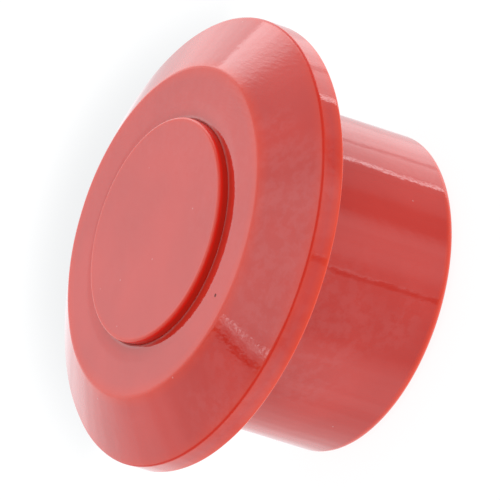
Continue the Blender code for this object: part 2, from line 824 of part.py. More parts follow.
def screw_mesh(name, head_r, head_height, shank_r, length, finish):
    """A cross-head screw with its head down at the origin and its shank along +Z."""
    tip = 0.8
    corners = [
        (0, head_height + length, 0),
        (shank_r / 3, head_height + length, 0),
        (shank_r, head_height + length - tip, 0),
        (shank_r, head_height, 0),
        (head_r, head_height, 0),
        (head_r, 0, 0.3),
        (0, 0, 0),
    ]
    made = turned(name, corners, finish, steps=SCREW_STEPS)
    depth = head_height * 0.6
    arm, half_slot = head_r * 0.6, 0.22
    cross = bmesh.new()
    add_box(cross, (-arm, -half_slot, -1), (arm, half_slot, depth))
    cut(made, cross)
    cross = bmesh.new()
    add_box(cross, (-half_slot, -arm, -1), (half_slot, arm, depth))
    cut(made, cross)
    mesh = made.data
    bpy.data.objects.remove(made)
    return mesh


def screws(name, angles, at, head_z, sizes, finish):
    """The screws of one ring, each its own object on a shared mesh."""
    mesh = screw_mesh(name, *sizes, finish)
    for number, angle in enumerate(angles):
        place(f"{name}_{number + 1}", mesh, finish, polar(at, angle, head_z), turn=angle + 25 * number)


# ---- Assembly ----


def build():
    red = material("red_plastic", (0.60, 0.032, 0.026), 0.14)
    cap_red = material("red_button_plastic", (0.61, 0.034, 0.028), 0.14)
    base_red = material("red_base_plastic", (0.52, 0.030, 0.026), 0.32)
    door_red = material("red_door_plastic", (0.52, 0.030, 0.026), 0.32)
    natural = material("natural_plastic", (0.70, 0.68, 0.62), 0.45)
    spring_steel = material("spring_steel", (0.62, 0.62, 0.64), 0.25, 1.0)
    plated_steel = material("plated_steel", (0.66, 0.67, 0.70), 0.30, 1.0)
    cell_steel = material("cell_steel", (0.72, 0.72, 0.73), 0.22, 1.0)
    laminate = material("green_laminate", (0.02, 0.16, 0.07), 0.40)
    black = material("black_plastic", (0.02, 0.02, 0.022), 0.45)
    actuator = material("actuator_plastic", (0.75, 0.74, 0.70), 0.40)
    package = material("chip_package", (0.03, 0.03, 0.032), 0.55)
    sleeve = material("capacitor_sleeve", (0.02, 0.05, 0.16), 0.35)
    lacquer = material("resistor_lacquer", (0.55, 0.42, 0.26), 0.45)
    moulded = material("transistor_package", (0.025, 0.025, 0.027), 0.5)
    contact_plate = material("nickel_contact", (0.74, 0.72, 0.66), 0.28, 1.0)
    red_pvc = material("red_insulation", (0.55, 0.02, 0.02), 0.4)
    black_pvc = material("black_insulation", (0.015, 0.015, 0.016), 0.4)
    rubber = material("black_rubber", (0.025, 0.025, 0.027), 0.75)

    housing(red)
    button_cap(cap_red)
    return_spring(spring_steel)
    switch_carrier(natural)
    circuit_board(laminate)
    switch_body(black)
    switch_plunger(actuator)
    sounder(material("sounder_plastic", (0.018, 0.018, 0.02), 0.38))
    sound_chip(package)
    capacitor(sleeve)
    resistor(lacquer)
    transistor(moulded)
    battery(cell_steel)
    contact_negative(contact_plate)
    contact_positive(contact_plate)
    battery_wire("battery_wire_black", NEGATIVE_TAB_X - 1.0, (-12.0, -3.5), black_pvc)
    battery_wire("battery_wire_red", POSITIVE_TAB_X + 1.0, (12.2, 2.0), red_pvc)
    base_cover(base_red)
    battery_door(door_red)
    for number in range(len(FOOT_ANGLES)):
        foot(number, rubber)
    screws(
        "cover_screw",
        COVER_SCREW_ANGLES,
        COVER_SCREW_AT,
        BARREL_END_Z + 0.1,
        (*COVER_SCREW, 8.0),
        plated_steel,
    )
    screws(
        "carrier_screw",
        CARRIER_SCREW_ANGLES,
        CARRIER_SCREW_AT,
        CARRIER_BASE_Z - GAP - 1.0,
        (*SMALL_SCREW, 7.0),
        plated_steel,
    )
    screws(
        "board_screw",
        BOARD_SCREW_ANGLES,
        BOARD_SCREW_AT,
        UNDER_BOARD_Z - 1.0,
        (*SMALL_SCREW, 4.2),
        plated_steel,
    )


clear_scene()
PARTS = new_collection("quiz_buzzer")
TOOLS = new_collection("tools")
build()
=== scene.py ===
"""Looks of the quiz buzzer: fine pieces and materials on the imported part, and its floor, light and camera.

Lengths are in millimetres and are turned into metres where a shape is placed. Heights and outer sizes come
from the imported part, and the others repeat the sizes that it was built with.
"""

import json
import math

import bmesh
import bpy
from mathutils import Matrix, Vector, noise


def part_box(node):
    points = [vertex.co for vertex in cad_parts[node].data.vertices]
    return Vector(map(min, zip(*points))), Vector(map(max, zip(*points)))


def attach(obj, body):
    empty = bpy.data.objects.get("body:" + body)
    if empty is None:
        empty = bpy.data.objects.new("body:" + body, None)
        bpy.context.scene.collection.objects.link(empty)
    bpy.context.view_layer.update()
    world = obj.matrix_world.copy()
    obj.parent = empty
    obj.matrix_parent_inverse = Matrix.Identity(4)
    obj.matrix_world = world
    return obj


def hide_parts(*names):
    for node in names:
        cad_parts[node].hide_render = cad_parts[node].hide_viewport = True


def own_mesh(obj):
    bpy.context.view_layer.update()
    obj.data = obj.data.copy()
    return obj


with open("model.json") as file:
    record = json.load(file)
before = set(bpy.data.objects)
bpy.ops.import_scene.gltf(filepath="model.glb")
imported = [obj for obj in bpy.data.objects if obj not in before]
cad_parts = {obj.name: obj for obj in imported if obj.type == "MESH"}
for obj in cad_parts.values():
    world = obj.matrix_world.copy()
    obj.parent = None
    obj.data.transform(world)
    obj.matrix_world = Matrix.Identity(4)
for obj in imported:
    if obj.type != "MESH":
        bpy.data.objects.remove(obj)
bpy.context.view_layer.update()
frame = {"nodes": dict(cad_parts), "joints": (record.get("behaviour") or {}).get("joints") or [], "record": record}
MM = 0.001


# ---- Sizes ----


def joint(name):
    return next(j for j in frame["joints"] if j["name"] == name)


def corners_of(node):
    """A CAD node's box, in millimetres."""
    low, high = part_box(node)
    return low / MM, high / MM


def widest(node, low, high):
    """The largest radius of a CAD node's vertices between two heights, in millimetres."""
    vertices = frame["nodes"][node].data.vertices
    near = [v.co / MM for v in vertices if low <= v.co.z / MM <= high]
    return max(math.hypot(p.x, p.y) for p in near)


GAP = 0.3
HOUSING_LOW, HOUSING_HIGH = corners_of("housing")
CAP_LOW, CAP_HIGH = corners_of("button_cap")
COVER_HIGH = corners_of("base_cover")[1]
DOOR_LOW, DOOR_HIGH = corners_of("battery_door")

FLANGE_R = HOUSING_HIGH.x
RING_Z = HOUSING_HIGH.z
BARREL_END_Z = HOUSING_LOW.z
FLANGE_BACK_Z = frame["record"]["mounts"][1]["pos_m"][2] / MM
BARREL_R = widest("housing", BARREL_END_Z + 1, FLANGE_BACK_Z - 1)
BUTTON_TOP_Z = CAP_HIGH.z
BUTTON_R = widest("button_cap", RING_Z - 1, BUTTON_TOP_Z)
BORE_R = COVER_HIGH.x + GAP
SEAM = 0.02  # the seam that shows, finer than the clearance below it
HOLE_R = BUTTON_R + SEAM
LIP_HEIGHT = 1.4
LIP_TOP_Z = CAP_LOW.z + LIP_HEIGHT
COLLAR_END_Z = LIP_TOP_Z + GAP
COLLAR_R = BUTTON_R + GAP + 1.9
RING_R = 0.735 * FLANGE_R
RING_UNDER_Z = RING_Z - 2.2
RIM_TOP_Z = FLANGE_BACK_Z + 3.2
RIM_INNER_R = FLANGE_R - 2.0
RIBS = 12
RIB_HALF = 0.6
RIB_ROOT = 0.4  # how far a rib reaches into the walls it joins
BOARD_BASE_Z = corners_of("circuit_board")[0].z
SEAT_R = 5.4  # outer radius of the two rims that hold the spring's ends
SEAT_HEIGHT = 1.2
CARRIER_TOP_Z = corners_of("switch_carrier")[1].z - SEAT_HEIGHT

# Base cover, battery door and feet
COVER_PLATE = 2.0
WELL_R = 13.0
DOOR_HIGH_R = widest("battery_door", DOOR_LOW.z, DOOR_LOW.z + 1)
DOOR_RIM = 0.8
NECK_R = 11.8
LUG_ANGLES = (0, 120, 240)
LUG_WIDTH = 5.0
LUG_REACH = 12.5
LUG_HALF = math.degrees(LUG_WIDTH / 2 / LUG_REACH)
LUG_TOP_Z = BARREL_END_Z + COVER_PLATE + GAP + 0.7
DOOR_TURN = joint("battery_door_turn")["range_deg"][1]
POINTER_ANGLE = 20
MARKS_AT = 13.9  # the cover's two dots, for shut and open
CONTACT_SLOTS_X = (-8.0, 10.9)
SOUND_SLOT = (3.4, 1.0)  # length and width
FOOT_AT = 16.2
FOOT_R = 2.2
FOOT_ANGLES = (30, 150, 270)
FOOT_POCKET_DEPTH = 0.8

# Screws and their bosses. A screw is (head radius, head height, shank radius)
COVER_SCREW = (1.7, 0.8, 0.95)
COVER_SCREW_AT = 16.5
COVER_SCREW_ANGLES = (90, 210, 330)
COVER_BOSS_R = 2.2
COVER_PILOT_R = 1.25
COVER_HOLE_R = 1.3
HEAD_POCKET_R = 2.0
HEAD_POCKET_DEPTH = 1.2
INNER_SCREW = (1.5, 1.0, 0.75)
CARRIER_SCREW_AT = 17.6
CARRIER_SCREW_ANGLES = FOOT_ANGLES
CARRIER_BOSS_R = 2.1
CARRIER_PILOT_R = 1.05
KEYWAY_R = CARRIER_BOSS_R + 0.4  # notch in the button's lip that runs on a boss
BOARD_SCREW_AT = 11.0
BOARD_SCREW_ANGLES = (150, 330)
THREAD_PITCH = 0.8
THREAD_DEPTH = 0.22

# Return spring
WIRE_R = 0.4
COILS = 6
STEPS_PER_COIL = 40

# Edges and rounds that show
HOLE_BEVEL = 0.2
HOLE_BEVEL_DROP = 0.1
RING_DISH = 0.09  # how far the ring sinks towards the hole
DISH_WIDTH = 2.3
DISH_FILLET = 16
RING_FILLET = 1.1
RIM_FRONT_FILLET = 0.5
RIM_BACK_FILLET = 0.42
BARREL_END_FILLET = 1.1
BUTTON_FILLET = 0.35

TURN_STEPS = 288  # flats round a shell
SMALL_STEPS = 48  # flats round a boss, a hole or a foot
ARC_STEPS = 7  # flats along a fillet
RUN = 1.3  # longest straight piece of a fine profile
HOLD = 0.05  # how close to a fillet its straight neighbour gets a point, so that flats stay flat
EDGE_HOLD = 0.4  # a second point there, so that what is painted on an edge stays on it


# ---- Shapes ----


def polar(radius, degrees, z=0.0):
    angle = math.radians(degrees)
    return Vector((radius * math.cos(angle), radius * math.sin(angle), z))


def filleted(corners, closed, arc_steps):
    """Points of a profile whose corners are (radius, height, fillet)."""
    points = []
    for i, (x, z, fillet) in enumerate(corners):
        here = Vector((x, z))
        if fillet == 0 or (not closed and i in (0, len(corners) - 1)):
            points.append(here)
            continue
        to_last = (Vector(corners[i - 1][:2]) - here).normalized()
        to_next = (Vector(corners[(i + 1) % len(corners)][:2]) - here).normalized()
        half = to_last.angle(to_next) / 2
        centre = here + (to_last + to_next).normalized() * fillet / math.sin(half)
        first = here + to_last * fillet / math.tan(half) - centre
        last = here + to_next * fillet / math.tan(half) - centre
        sweep = first.angle(last)
        for step in range(arc_steps + 1):
            share = step / arc_steps
            spoke = first * math.sin((1 - share) * sweep) + last * math.sin(share * sweep)
            points.append(centre + spoke / math.sin(sweep))
    return points


def with_runs(points, closed, run):
    """The same profile with its straight pieces divided, and held close to their ends."""
    divided = []
    pairs = list(zip(points, points[1:] + points[:1]))
    if not closed:
        pairs = pairs[:-1]
    for here, after in pairs:
        divided.append(here)
        length = (after - here).length
        if length < 6 * HOLD:
            continue
        count = max(1, round(length / run))
        holds = [HOLD, EDGE_HOLD] if length > 3 * EDGE_HOLD else [HOLD]
        inner = [i / count for i in range(1, count) if EDGE_HOLD < i / count * length < length - EDGE_HOLD]
        shares = [h / length for h in holds] + inner + [1 - h / length for h in reversed(holds)]
        divided += [here.lerp(after, share) for share in shares]
    return divided if closed else divided + [points[-1]]


def turned_mesh(corners, closed=False, steps=TURN_STEPS, arc_steps=ARC_STEPS, run=RUN):
    """A bmesh turned about Z from a profile in millimetres."""
    points = with_runs(filleted(corners, closed, arc_steps), closed, run)
    shape = bmesh.new()
    chain = [shape.verts.new((p.x * MM, 0, p.y * MM)) for p in points]
    links = list(zip(chain, chain[1:] + chain[:1]))
    if not closed:
        links = links[:-1]
    edges = [shape.edges.new(link) for link in links]
    bmesh.ops.spin(
        shape, geom=chain + edges, axis=(0, 0, 1), cent=(0, 0, 0), steps=steps, angle=math.tau, use_merge=True
    )
    bmesh.ops.remove_doubles(shape, verts=shape.verts, dist=1e-6)
    bmesh.ops.recalc_face_normals(shape, faces=shape.faces)
    return shape


def cylinders(places, radius, low, high, segments=SMALL_STEPS):
    shape = bmesh.new()
    for at in places:
        centre = Matrix.Translation(Vector((at[0], at[1], (low + high) / 2)) * MM)
        bmesh.ops.create_cone(
            shape,
            cap_ends=True,
            segments=segments,
            radius1=radius * MM,
            radius2=radius * MM,
            depth=(high - low) * MM,
            matrix=centre,
        )
    return shape


def boxes(low, high, turns):
    """The same box at several turns about Z."""
    low, high = Vector(low) * MM, Vector(high) * MM
    stretch = Matrix.Diagonal((*(high - low), 1))
    shape = bmesh.new()
    for turn in turns:
        spin = Matrix.Rotation(math.radians(turn), 4, "Z")
        bmesh.ops.create_cube(shape, size=1, matrix=spin @ Matrix.Translation((low + high) / 2) @ stretch)
    return shape


def prisms(outline, low, high, frames):
    """An outline in each frame's XY plane, drawn out from low to high along its Z."""
    shape = bmesh.new()
    for at in frames:
        verts = [shape.verts.new(at @ Vector((x * MM, y * MM, low * MM))) for x, y in outline]
        grown = bmesh.ops.extrude_face_region(shape, geom=[shape.faces.new(verts)])
        tops = [item for item in grown["geom"] if isinstance(item, bmesh.types.BMVert)]
        bmesh.ops.translate(shape, verts=tops, vec=at.to_3x3() @ Vector((0, 0, (high - low) * MM)))
    bmesh.ops.recalc_face_normals(shape, faces=shape.faces)
    return shape


def stadium(length, width, arc=10):
    """The outline of a slot with round ends, lying along X."""
    reach = (length - width) / 2
    ends = []
    for side in (1, -1):
        for step in range(arc + 1):
            angle = math.pi * (step / arc - 0.5)
            ends.append((side * (reach + width / 2 * math.cos(angle)), side * width / 2 * math.sin(angle)))
    return ends


def add_object(name, shape):
    mesh = bpy.data.meshes.new(name)
    shape.to_mesh(mesh)
    shape.free()
    made = bpy.data.objects.new(name, mesh)
    bpy.context.scene.collection.objects.link(made)
    return made


def bake(made):
    """Applies an object's modifiers."""
    graph = bpy.context.evaluated_depsgraph_get()
    mesh = bpy.data.meshes.new_from_object(made.evaluated_get(graph))
    made.modifiers.clear()
    made.data = mesh


def combine(made, shape, operation):
    """Joins a shape to an object, or cuts it out of it."""
    bmesh.ops.recalc_face_normals(shape, faces=shape.faces)
    tool = add_object("tool", shape)
    boolean = made.modifiers.new("Shape", "BOOLEAN")
    boolean.operation = operation
    boolean.solver = "MANIFOLD"
    boolean.object = tool
    bake(made)
    bpy.data.objects.remove(tool)


def join(made, shape):
    combine(made, shape, "UNION")


def cut(made, shape):
    combine(made, shape, "DIFFERENCE")


def shade(made, angle=34):
    made.data.shade_smooth()
    made.data.set_sharp_from_angle(angle=math.radians(angle))


def paint(made, layer, spots):
    """A vertex value that falls off from circles round Z, each of them (radius, height, reach, peak)."""
    values = []
    for vertex in made.data.vertices:
        p = vertex.co / MM
        radius = math.hypot(p.x, p.y)
        near = [peak * (1 - math.hypot(radius - r, p.z - z) / reach) for r, z, reach, peak in spots]
        values.append(max(0.0, *near))
    attribute = made.data.attributes.new(layer, "FLOAT", "POINT")
    attribute.data.foreach_set("value", values)


def ripple(made, amount, scale, picks):
    """Moves the vertices that picks accepts along their normals by a smooth noise, as a moulding shrinks."""
    normals = [v.normal.copy() for v in made.data.vertices]
    for vertex, normal in zip(made.data.vertices, normals):
        if picks(vertex.co / MM, normal):
            vertex.co += normal * (amount * MM * noise.noise(vertex.co * scale))


def finish_piece(made, body, nodes, material, angle=34):
    shade(made, angle)
    made.data.materials.clear()
    made.data.materials.append(material)
    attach(made, body)
    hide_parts(*nodes)
    return made


# ---- Node helpers ----


class Graph:
    """Short calls for building a node tree."""

    def __init__(self, tree):
        self.tree = tree
        tree.nodes.clear()

    def node(self, kind, **settings):
        made = self.tree.nodes.new(kind)
        for key, value in settings.items():
            setattr(made, key, value)
        return made

    def feed(self, socket, value):
        if isinstance(value, bpy.types.NodeSocket):
            self.tree.links.new(value, socket)
        elif value is not None:
            socket.default_value = value

    def math(self, operation, a, b=None, c=None, clamp=False):
        made = self.node("ShaderNodeMath", operation=operation, use_clamp=clamp)
        for socket, value in zip(made.inputs, (a, b, c)):
            self.feed(socket, value)
        return made.outputs[0]

    def ramp(self, value, low, high, to_low=0.0, to_high=1.0, smooth=True):
        """value from low..high to to_low..to_high, held outside."""
        made = self.node("ShaderNodeMapRange", clamp=True)
        made.interpolation_type = "SMOOTHSTEP" if smooth else "LINEAR"
        for socket, item in zip(made.inputs, (value, low, high, to_low, to_high)):
            self.feed(socket, item)
        return made.outputs[0]

    def mix(self, share, a, b):
        """Colour a to colour b."""
        made = self.node("ShaderNodeMix", data_type="RGBA")
        self.feed(made.inputs[0], share)
        self.feed(made.inputs[6], a)
        self.feed(made.inputs[7], b)
        return made.outputs[2]

    def blend(self, share, a, b):
        """Number a to number b."""
        made = self.node("ShaderNodeMix", data_type="FLOAT")
        for socket, item in zip(made.inputs[:1] + made.inputs[2:4], (share, a, b)):
            self.feed(socket, item)
        return made.outputs[0]

    def noise(self, vector, scale, detail=2.0, rough=0.5, distortion=0.0):
        made = self.node("ShaderNodeTexNoise")
        self.feed(made.inputs["Vector"], vector)
        self.feed(made.inputs["Scale"], scale)
        self.feed(made.inputs["Detail"], detail)
        self.feed(made.inputs["Roughness"], rough)
        self.feed(made.inputs["Distortion"], distortion)
        return made.outputs[0]

    def stretch(self, vector, scale, turn=(0, 0, 0)):
        made = self.node("ShaderNodeMapping")
        self.feed(made.inputs["Vector"], vector)
        made.inputs["Rotation"].default_value = turn
        made.inputs["Scale"].default_value = scale
        return made.outputs[0]

    def bump(self, height, distance, strength=1.0, normal=None):
        made = self.node("ShaderNodeBump")
        self.feed(made.inputs["Strength"], strength)
        self.feed(made.inputs["Distance"], distance)
        self.feed(made.inputs["Height"], height)
        self.feed(made.inputs["Normal"], normal)
        return made.outputs[0]

    def dot(self, vector, direction):
        made = self.node("ShaderNodeVectorMath", operation="DOT_PRODUCT")
        self.feed(made.inputs[0], vector)
        self.feed(made.inputs[1], direction)
        return made.outputs["Value"]

    def attribute(self, name):
        return self.node("ShaderNodeAttribute", attribute_name=name).outputs["Fac"]

    def place(self):
        """A point's place in the object, in metres."""
        return self.node("ShaderNodeTexCoord").outputs["Object"]


def colour(*parts):
    return (*parts, 1.0)


WORN_R = 0.25  # how far wear reaches from an edge
PIT = polar(19.2, 252.9, RING_Z)  # a small nick in the ring
PIT_R = (0.16, 0.30)  # whole within the first, gone beyond the second
FLOW_MARKS = polar(25.5, 335, 29.6)  # middle of the fine ripples that the plastic's flow left in the chamfer
FLOW_R = (4, 11)
PIT_TONE = (0.05, 0.012, 0.008)
SMUDGE_SHARE = 0.11
SMUDGE_TONE = (0.46, 0.14, 0.14)
DUST_AND_HIGHLIGHT_SHARE = 0.2
DUST_AND_HIGHLIGHT_TONE = (0.54, 0.40, 0.38)


# ---- Materials ----


def new_material(name):
    made = bpy.data.materials.new(name)
    made.use_nodes = True
    graph = Graph(made.node_tree)
    shader = graph.node("ShaderNodeBsdfPrincipled")
    out = graph.node("ShaderNodeOutputMaterial")
    graph.tree.links.new(shader.outputs[0], out.inputs[0])
    return made, graph, shader


def specks(graph, at, scale, size, share):
    """Scattered round specks: 1 inside a speck, 0 elsewhere, with a share of the cells holding one."""
    cells = graph.node("ShaderNodeTexVoronoi", feature="F1")
    graph.feed(cells.inputs["Vector"], at)
    graph.feed(cells.inputs["Scale"], scale)
    chosen = graph.node("ShaderNodeSeparateColor")
    graph.feed(chosen.inputs[0], cells.outputs["Color"])
    inside = graph.ramp(cells.outputs["Distance"], size, size * 0.5)
    return graph.math("MULTIPLY", inside, graph.math("LESS_THAN", chosen.outputs[0], share))


def spot(graph, at, centre, reach):
    """1 within the first radius of a centre, 0 beyond the second, in millimetres."""
    off = graph.node("ShaderNodeVectorMath", operation="DISTANCE")
    graph.feed(off.inputs[0], at)
    graph.feed(off.inputs[1], centre * MM)
    return graph.ramp(off.outputs["Value"], reach[1] * MM, reach[0] * MM)


def smudges(graph, at):
    """Where hands have dulled the plastic: less on level faces."""
    handled = graph.ramp(graph.noise(graph.stretch(at, (1, 1, 1), (0.3, 0.9, 0.2)), 48, 2), 0.46, 0.60)
    blots = graph.ramp(graph.noise(at, 680, 4, 0.6), 0.40, 0.62)
    level = graph.node("ShaderNodeSeparateXYZ")
    graph.feed(level.inputs[0], graph.node("ShaderNodeNewGeometry").outputs["Normal"])
    handled = graph.math("MULTIPLY", handled, graph.ramp(level.outputs[2], 0.9, 0.99, 1.0, 0.35))
    return graph.math("MULTIPLY", graph.math("MULTIPLY", handled, blots), SMUDGE_SHARE)


def dust_and_seam_highlight(graph, at):
    """Loose grains, short lint, and the patchy pale line in the seam, part dust and part painted highlight."""
    patchy = graph.ramp(graph.noise(at, 900, 3), 0.25, 0.5, 0.35, 1.0)
    # the seam's pale line: dust, and a painted highlight on the hole's edge
    seam_dust_and_highlight = graph.math("MULTIPLY", graph.attribute("dust_and_highlight"), patchy, clamp=True)
    grains = specks(graph, at, 520, 0.08, 0.09)
    lint = specks(graph, graph.stretch(at, (1, 1, 0.3), (0.4, 0.8, 0)), 300, 0.05, 0.08)
    dust_and_highlight = graph.math("MULTIPLY", grains, 0.3)
    for other in (lint, seam_dust_and_highlight):
        dust_and_highlight = graph.math("MAXIMUM", dust_and_highlight, graph.math("MULTIPLY", other, DUST_AND_HIGHLIGHT_SHARE))
    return dust_and_highlight


def fine_scratches(graph, at):
    """Thin lines in two directions."""
    lines = graph.noise(graph.stretch(at, (900, 60, 900), (0.6, 0.3, 0.9)), 1.0, 2)
    others = graph.noise(graph.stretch(at, (50, 1100, 800), (0.2, 1.1, 0.4)), 1.0, 2)
    return graph.math("MAXIMUM", graph.ramp(lines, 0.74, 0.80), graph.ramp(others, 0.75, 0.82))


def moulded_skin(graph, at, dust_and_highlight, scratches):
    """The normal of a glossy moulding: orange peel, ripples round the flow marks, dust and scratches."""
    peel = graph.bump(graph.noise(at, 560, 3, 0.55), 0.000013)
    skin = graph.bump(graph.noise(graph.stretch(at, (1, 1, 0.7)), 1300, 2), 0.000006, normal=peel)
    flow = graph.noise(graph.stretch(at, (2400, 700, 700)), 1.0, 2)
    flow = graph.math("MULTIPLY", flow, spot(graph, at, FLOW_MARKS, FLOW_R))
    skin = graph.bump(flow, 0.000022, normal=skin)
    return graph.bump(graph.math("SUBTRACT", dust_and_highlight, scratches), 0.000012, 0.35, normal=skin)


def gloss_red(name, base, deep_red_glow_gain, polish=0.055):
    """Glossy moulded red plastic, with painted light on its vertices: edge glow, deep red glow and crevice shade.
    """
    made, graph, shader = new_material(name)
    at = graph.place()

    def shifted(red, green, blue):
        return colour(base[0] * red, base[1] * green, base[2] * blue)

    slow = graph.ramp(graph.noise(at, 70, 3), 0.3, 0.7)
    tone = graph.mix(slow, shifted(0.93, 0.90, 0.90), shifted(1.06, 1.12, 1.12))
    tone = graph.mix(smudges(graph, at), tone, colour(*SMUDGE_TONE))
    # painted glow where light comes through the thin plastic at its edges
    edge = graph.ramp(graph.attribute("edge"), 0.0, 1.0, smooth=False)
    tone = graph.mix(edge, tone, shifted(1.4, 2.1, 1.25))
    # painted deep red glow: light through the plastic, with little reflection on it
    deep_red_glow = graph.ramp(graph.attribute("deep_red_glow"), 0.0, 1.0)
    tone = graph.mix(deep_red_glow, tone, shifted(deep_red_glow_gain, 0.85, 0.75))
    # painted shade towards the seam round the button
    tone = graph.mix(graph.attribute("crevice_shade"), tone, shifted(0.6, 0.8, 0.6))
    dust_and_highlight = dust_and_seam_highlight(graph, at)
    tone = graph.mix(dust_and_highlight, tone, colour(*DUST_AND_HIGHLIGHT_TONE))
    pit = spot(graph, at, PIT, PIT_R)
    tone = graph.mix(graph.math("MULTIPLY", pit, 0.85), tone, colour(*PIT_TONE))
    graph.feed(shader.inputs["Base Color"], tone)

    scratches = fine_scratches(graph, at)
    rough = graph.ramp(graph.noise(at, 260, 4, 0.6), 0.3, 0.7, polish * 0.85, polish * 1.2)
    rough = graph.math("ADD", rough, graph.math("MULTIPLY", scratches, 0.10))
    rough = graph.math("ADD", rough, graph.math("MULTIPLY", dust_and_highlight, 0.5), clamp=True)
    graph.feed(shader.inputs["Roughness"], rough)
    # less specular where glow is painted and in the nick
    low_specular = graph.math("MAXIMUM", graph.math("MULTIPLY", edge, 0.35), deep_red_glow)
    low_specular = graph.math("MAXIMUM", low_specular, pit)
    graph.feed(shader.inputs["Specular IOR Level"], graph.ramp(low_specular, 0.0, 0.6, 0.5, 0.1, smooth=False))
    graph.feed(shader.inputs["Normal"], moulded_skin(graph, at, dust_and_highlight, scratches))
    shader.inputs["IOR"].default_value = 1.49
    return made


def moulded(name, base, rough, grain=900, depth=0.000004, sheen=0.0, metallic=0.0, wear=0.0):
    """A moulded or rubbery surface: slow tone variation, a fine grain, and edges rubbed a little lighter."""
    made, graph, shader = new_material(name)
    at = graph.place()
    slow = graph.noise(at, 120, 3)
    fine = graph.noise(at, grain, 3, 0.6)
    deep = colour(*[c * 0.86 for c in base])
    light = colour(*[min(1.0, c * 1.12) for c in base])
    tone = graph.mix(graph.ramp(slow, 0.3, 0.7), deep, light)
    if wear:
        eased = graph.node("ShaderNodeBevel", samples=6)
        eased.inputs["Radius"].default_value = WORN_R * MM
        flat = graph.dot(eased.outputs[0], graph.node("ShaderNodeNewGeometry").outputs["Normal"])
        lighter_edges = graph.math("MULTIPLY", graph.ramp(flat, 0.995, 0.9), wear)
        tone = graph.mix(lighter_edges, tone, colour(*[min(1.0, c * 1.5 + 0.03) for c in base]))
    graph.feed(shader.inputs["Base Color"], tone)
    graph.feed(shader.inputs["Roughness"], graph.ramp(fine, 0.3, 0.7, rough * 0.82, rough * 1.15))
    graph.feed(shader.inputs["Normal"], graph.bump(fine, depth))
    shader.inputs["Metallic"].default_value = metallic
    shader.inputs["Sheen Weight"].default_value = sheen
    return made


def drawn_metal(name, base, rough, stretch=(1, 1, 0.05)):
    """Metal with fine marks that run round or along it, and a faint tarnish."""
    made, graph, shader = new_material(name)
    at = graph.place()
    lines = graph.noise(graph.stretch(at, tuple(2500 * s for s in stretch)), 1.0, 3, 0.7)
    tarnish = graph.noise(at, 300, 3)
    dull = colour(base[0] * 0.8, base[1] * 0.77, base[2] * 0.72)
    graph.feed(shader.inputs["Base Color"], graph.mix(graph.ramp(tarnish, 0.45, 0.8), colour(*base), dull))
    graph.feed(shader.inputs["Roughness"], graph.ramp(lines, 0.3, 0.7, rough * 0.7, rough * 1.35))
    graph.feed(shader.inputs["Normal"], graph.bump(lines, 0.000002))
    shader.inputs["Metallic"].default_value = 1.0
    return made


def laminate(name):
    """Green solder mask over straight copper tracks, with the weave of the glass just showing."""
    made, graph, shader = new_material(name)
    at = graph.place()
    copper = 0.0
    for turn, scale, offset in ((0, 150, 0.37), (math.pi / 2, 210, 0.61)):
        uneven = {"offset": offset, "offset_frequency": 3, "squash": 1.7, "squash_frequency": 5}
        tracks = graph.node("ShaderNodeTexBrick", **uneven)
        graph.feed(tracks.inputs["Vector"], graph.stretch(at, (1, 1, 0), (0, 0, turn)))
        layout = {"Scale": scale, "Mortar Size": 0.028, "Brick Width": 1.9, "Row Height": 0.33}
        for socket, value in layout.items():
            tracks.inputs[socket].default_value = value
        broken = graph.ramp(graph.noise(at, 260 + scale, 1), 0.47, 0.49)
        copper = graph.math("MAXIMUM", copper, graph.math("MULTIPLY", tracks.outputs["Fac"], broken))
    weave = graph.noise(graph.stretch(at, (3000, 3000, 1)), 1.0, 1)
    green = graph.mix(graph.ramp(weave, 0.3, 0.7), colour(0.014, 0.13, 0.055), colour(0.022, 0.17, 0.075))
    graph.feed(shader.inputs["Base Color"], graph.mix(copper, green, colour(0.04, 0.27, 0.10)))
    graph.feed(shader.inputs["Roughness"], graph.ramp(weave, 0.3, 0.7, 0.32, 0.42))
    raised = graph.math("ADD", graph.math("MULTIPLY", copper, 0.8), graph.math("MULTIPLY", weave, 0.2))
    graph.feed(shader.inputs["Normal"], graph.bump(raised, 0.00002))
    return made


def banded(name, centre_x):
    """Resistor lacquer with four colour bands round the body and tinned leads."""
    made, graph, shader = new_material(name)
    at = graph.place()
    split = graph.node("ShaderNodeSeparateXYZ")
    graph.feed(split.inputs[0], at)
    along = graph.math("SUBTRACT", split.outputs[0], centre_x * MM)
    slow = graph.ramp(graph.noise(at, 400, 2), 0.3, 0.7)
    tone = graph.mix(slow, colour(0.5, 0.37, 0.22), colour(0.58, 0.45, 0.29))
    bands = (
        (-2.1, (0.16, 0.06, 0.02)),
        (-0.9, (0.01, 0.01, 0.01)),
        (0.1, (0.45, 0.03, 0.02)),
        (2.1, (0.5, 0.34, 0.06)),
    )
    for place, paint_colour in bands:
        off = graph.math("ABSOLUTE", graph.math("SUBTRACT", along, place * MM))
        tone = graph.mix(graph.ramp(off, 0.00026, 0.00022), tone, colour(*paint_colour))
    lead = graph.ramp(graph.math("ABSOLUTE", along), 0.00285, 0.0030)
    graph.feed(shader.inputs["Base Color"], graph.mix(lead, tone, colour(0.7, 0.7, 0.7)))
    graph.feed(shader.inputs["Metallic"], lead)
    graph.feed(shader.inputs["Roughness"], graph.ramp(graph.noise(at, 900, 2), 0.3, 0.7, 0.28, 0.4))
    return made


# ---- Shell of the buzzer ----


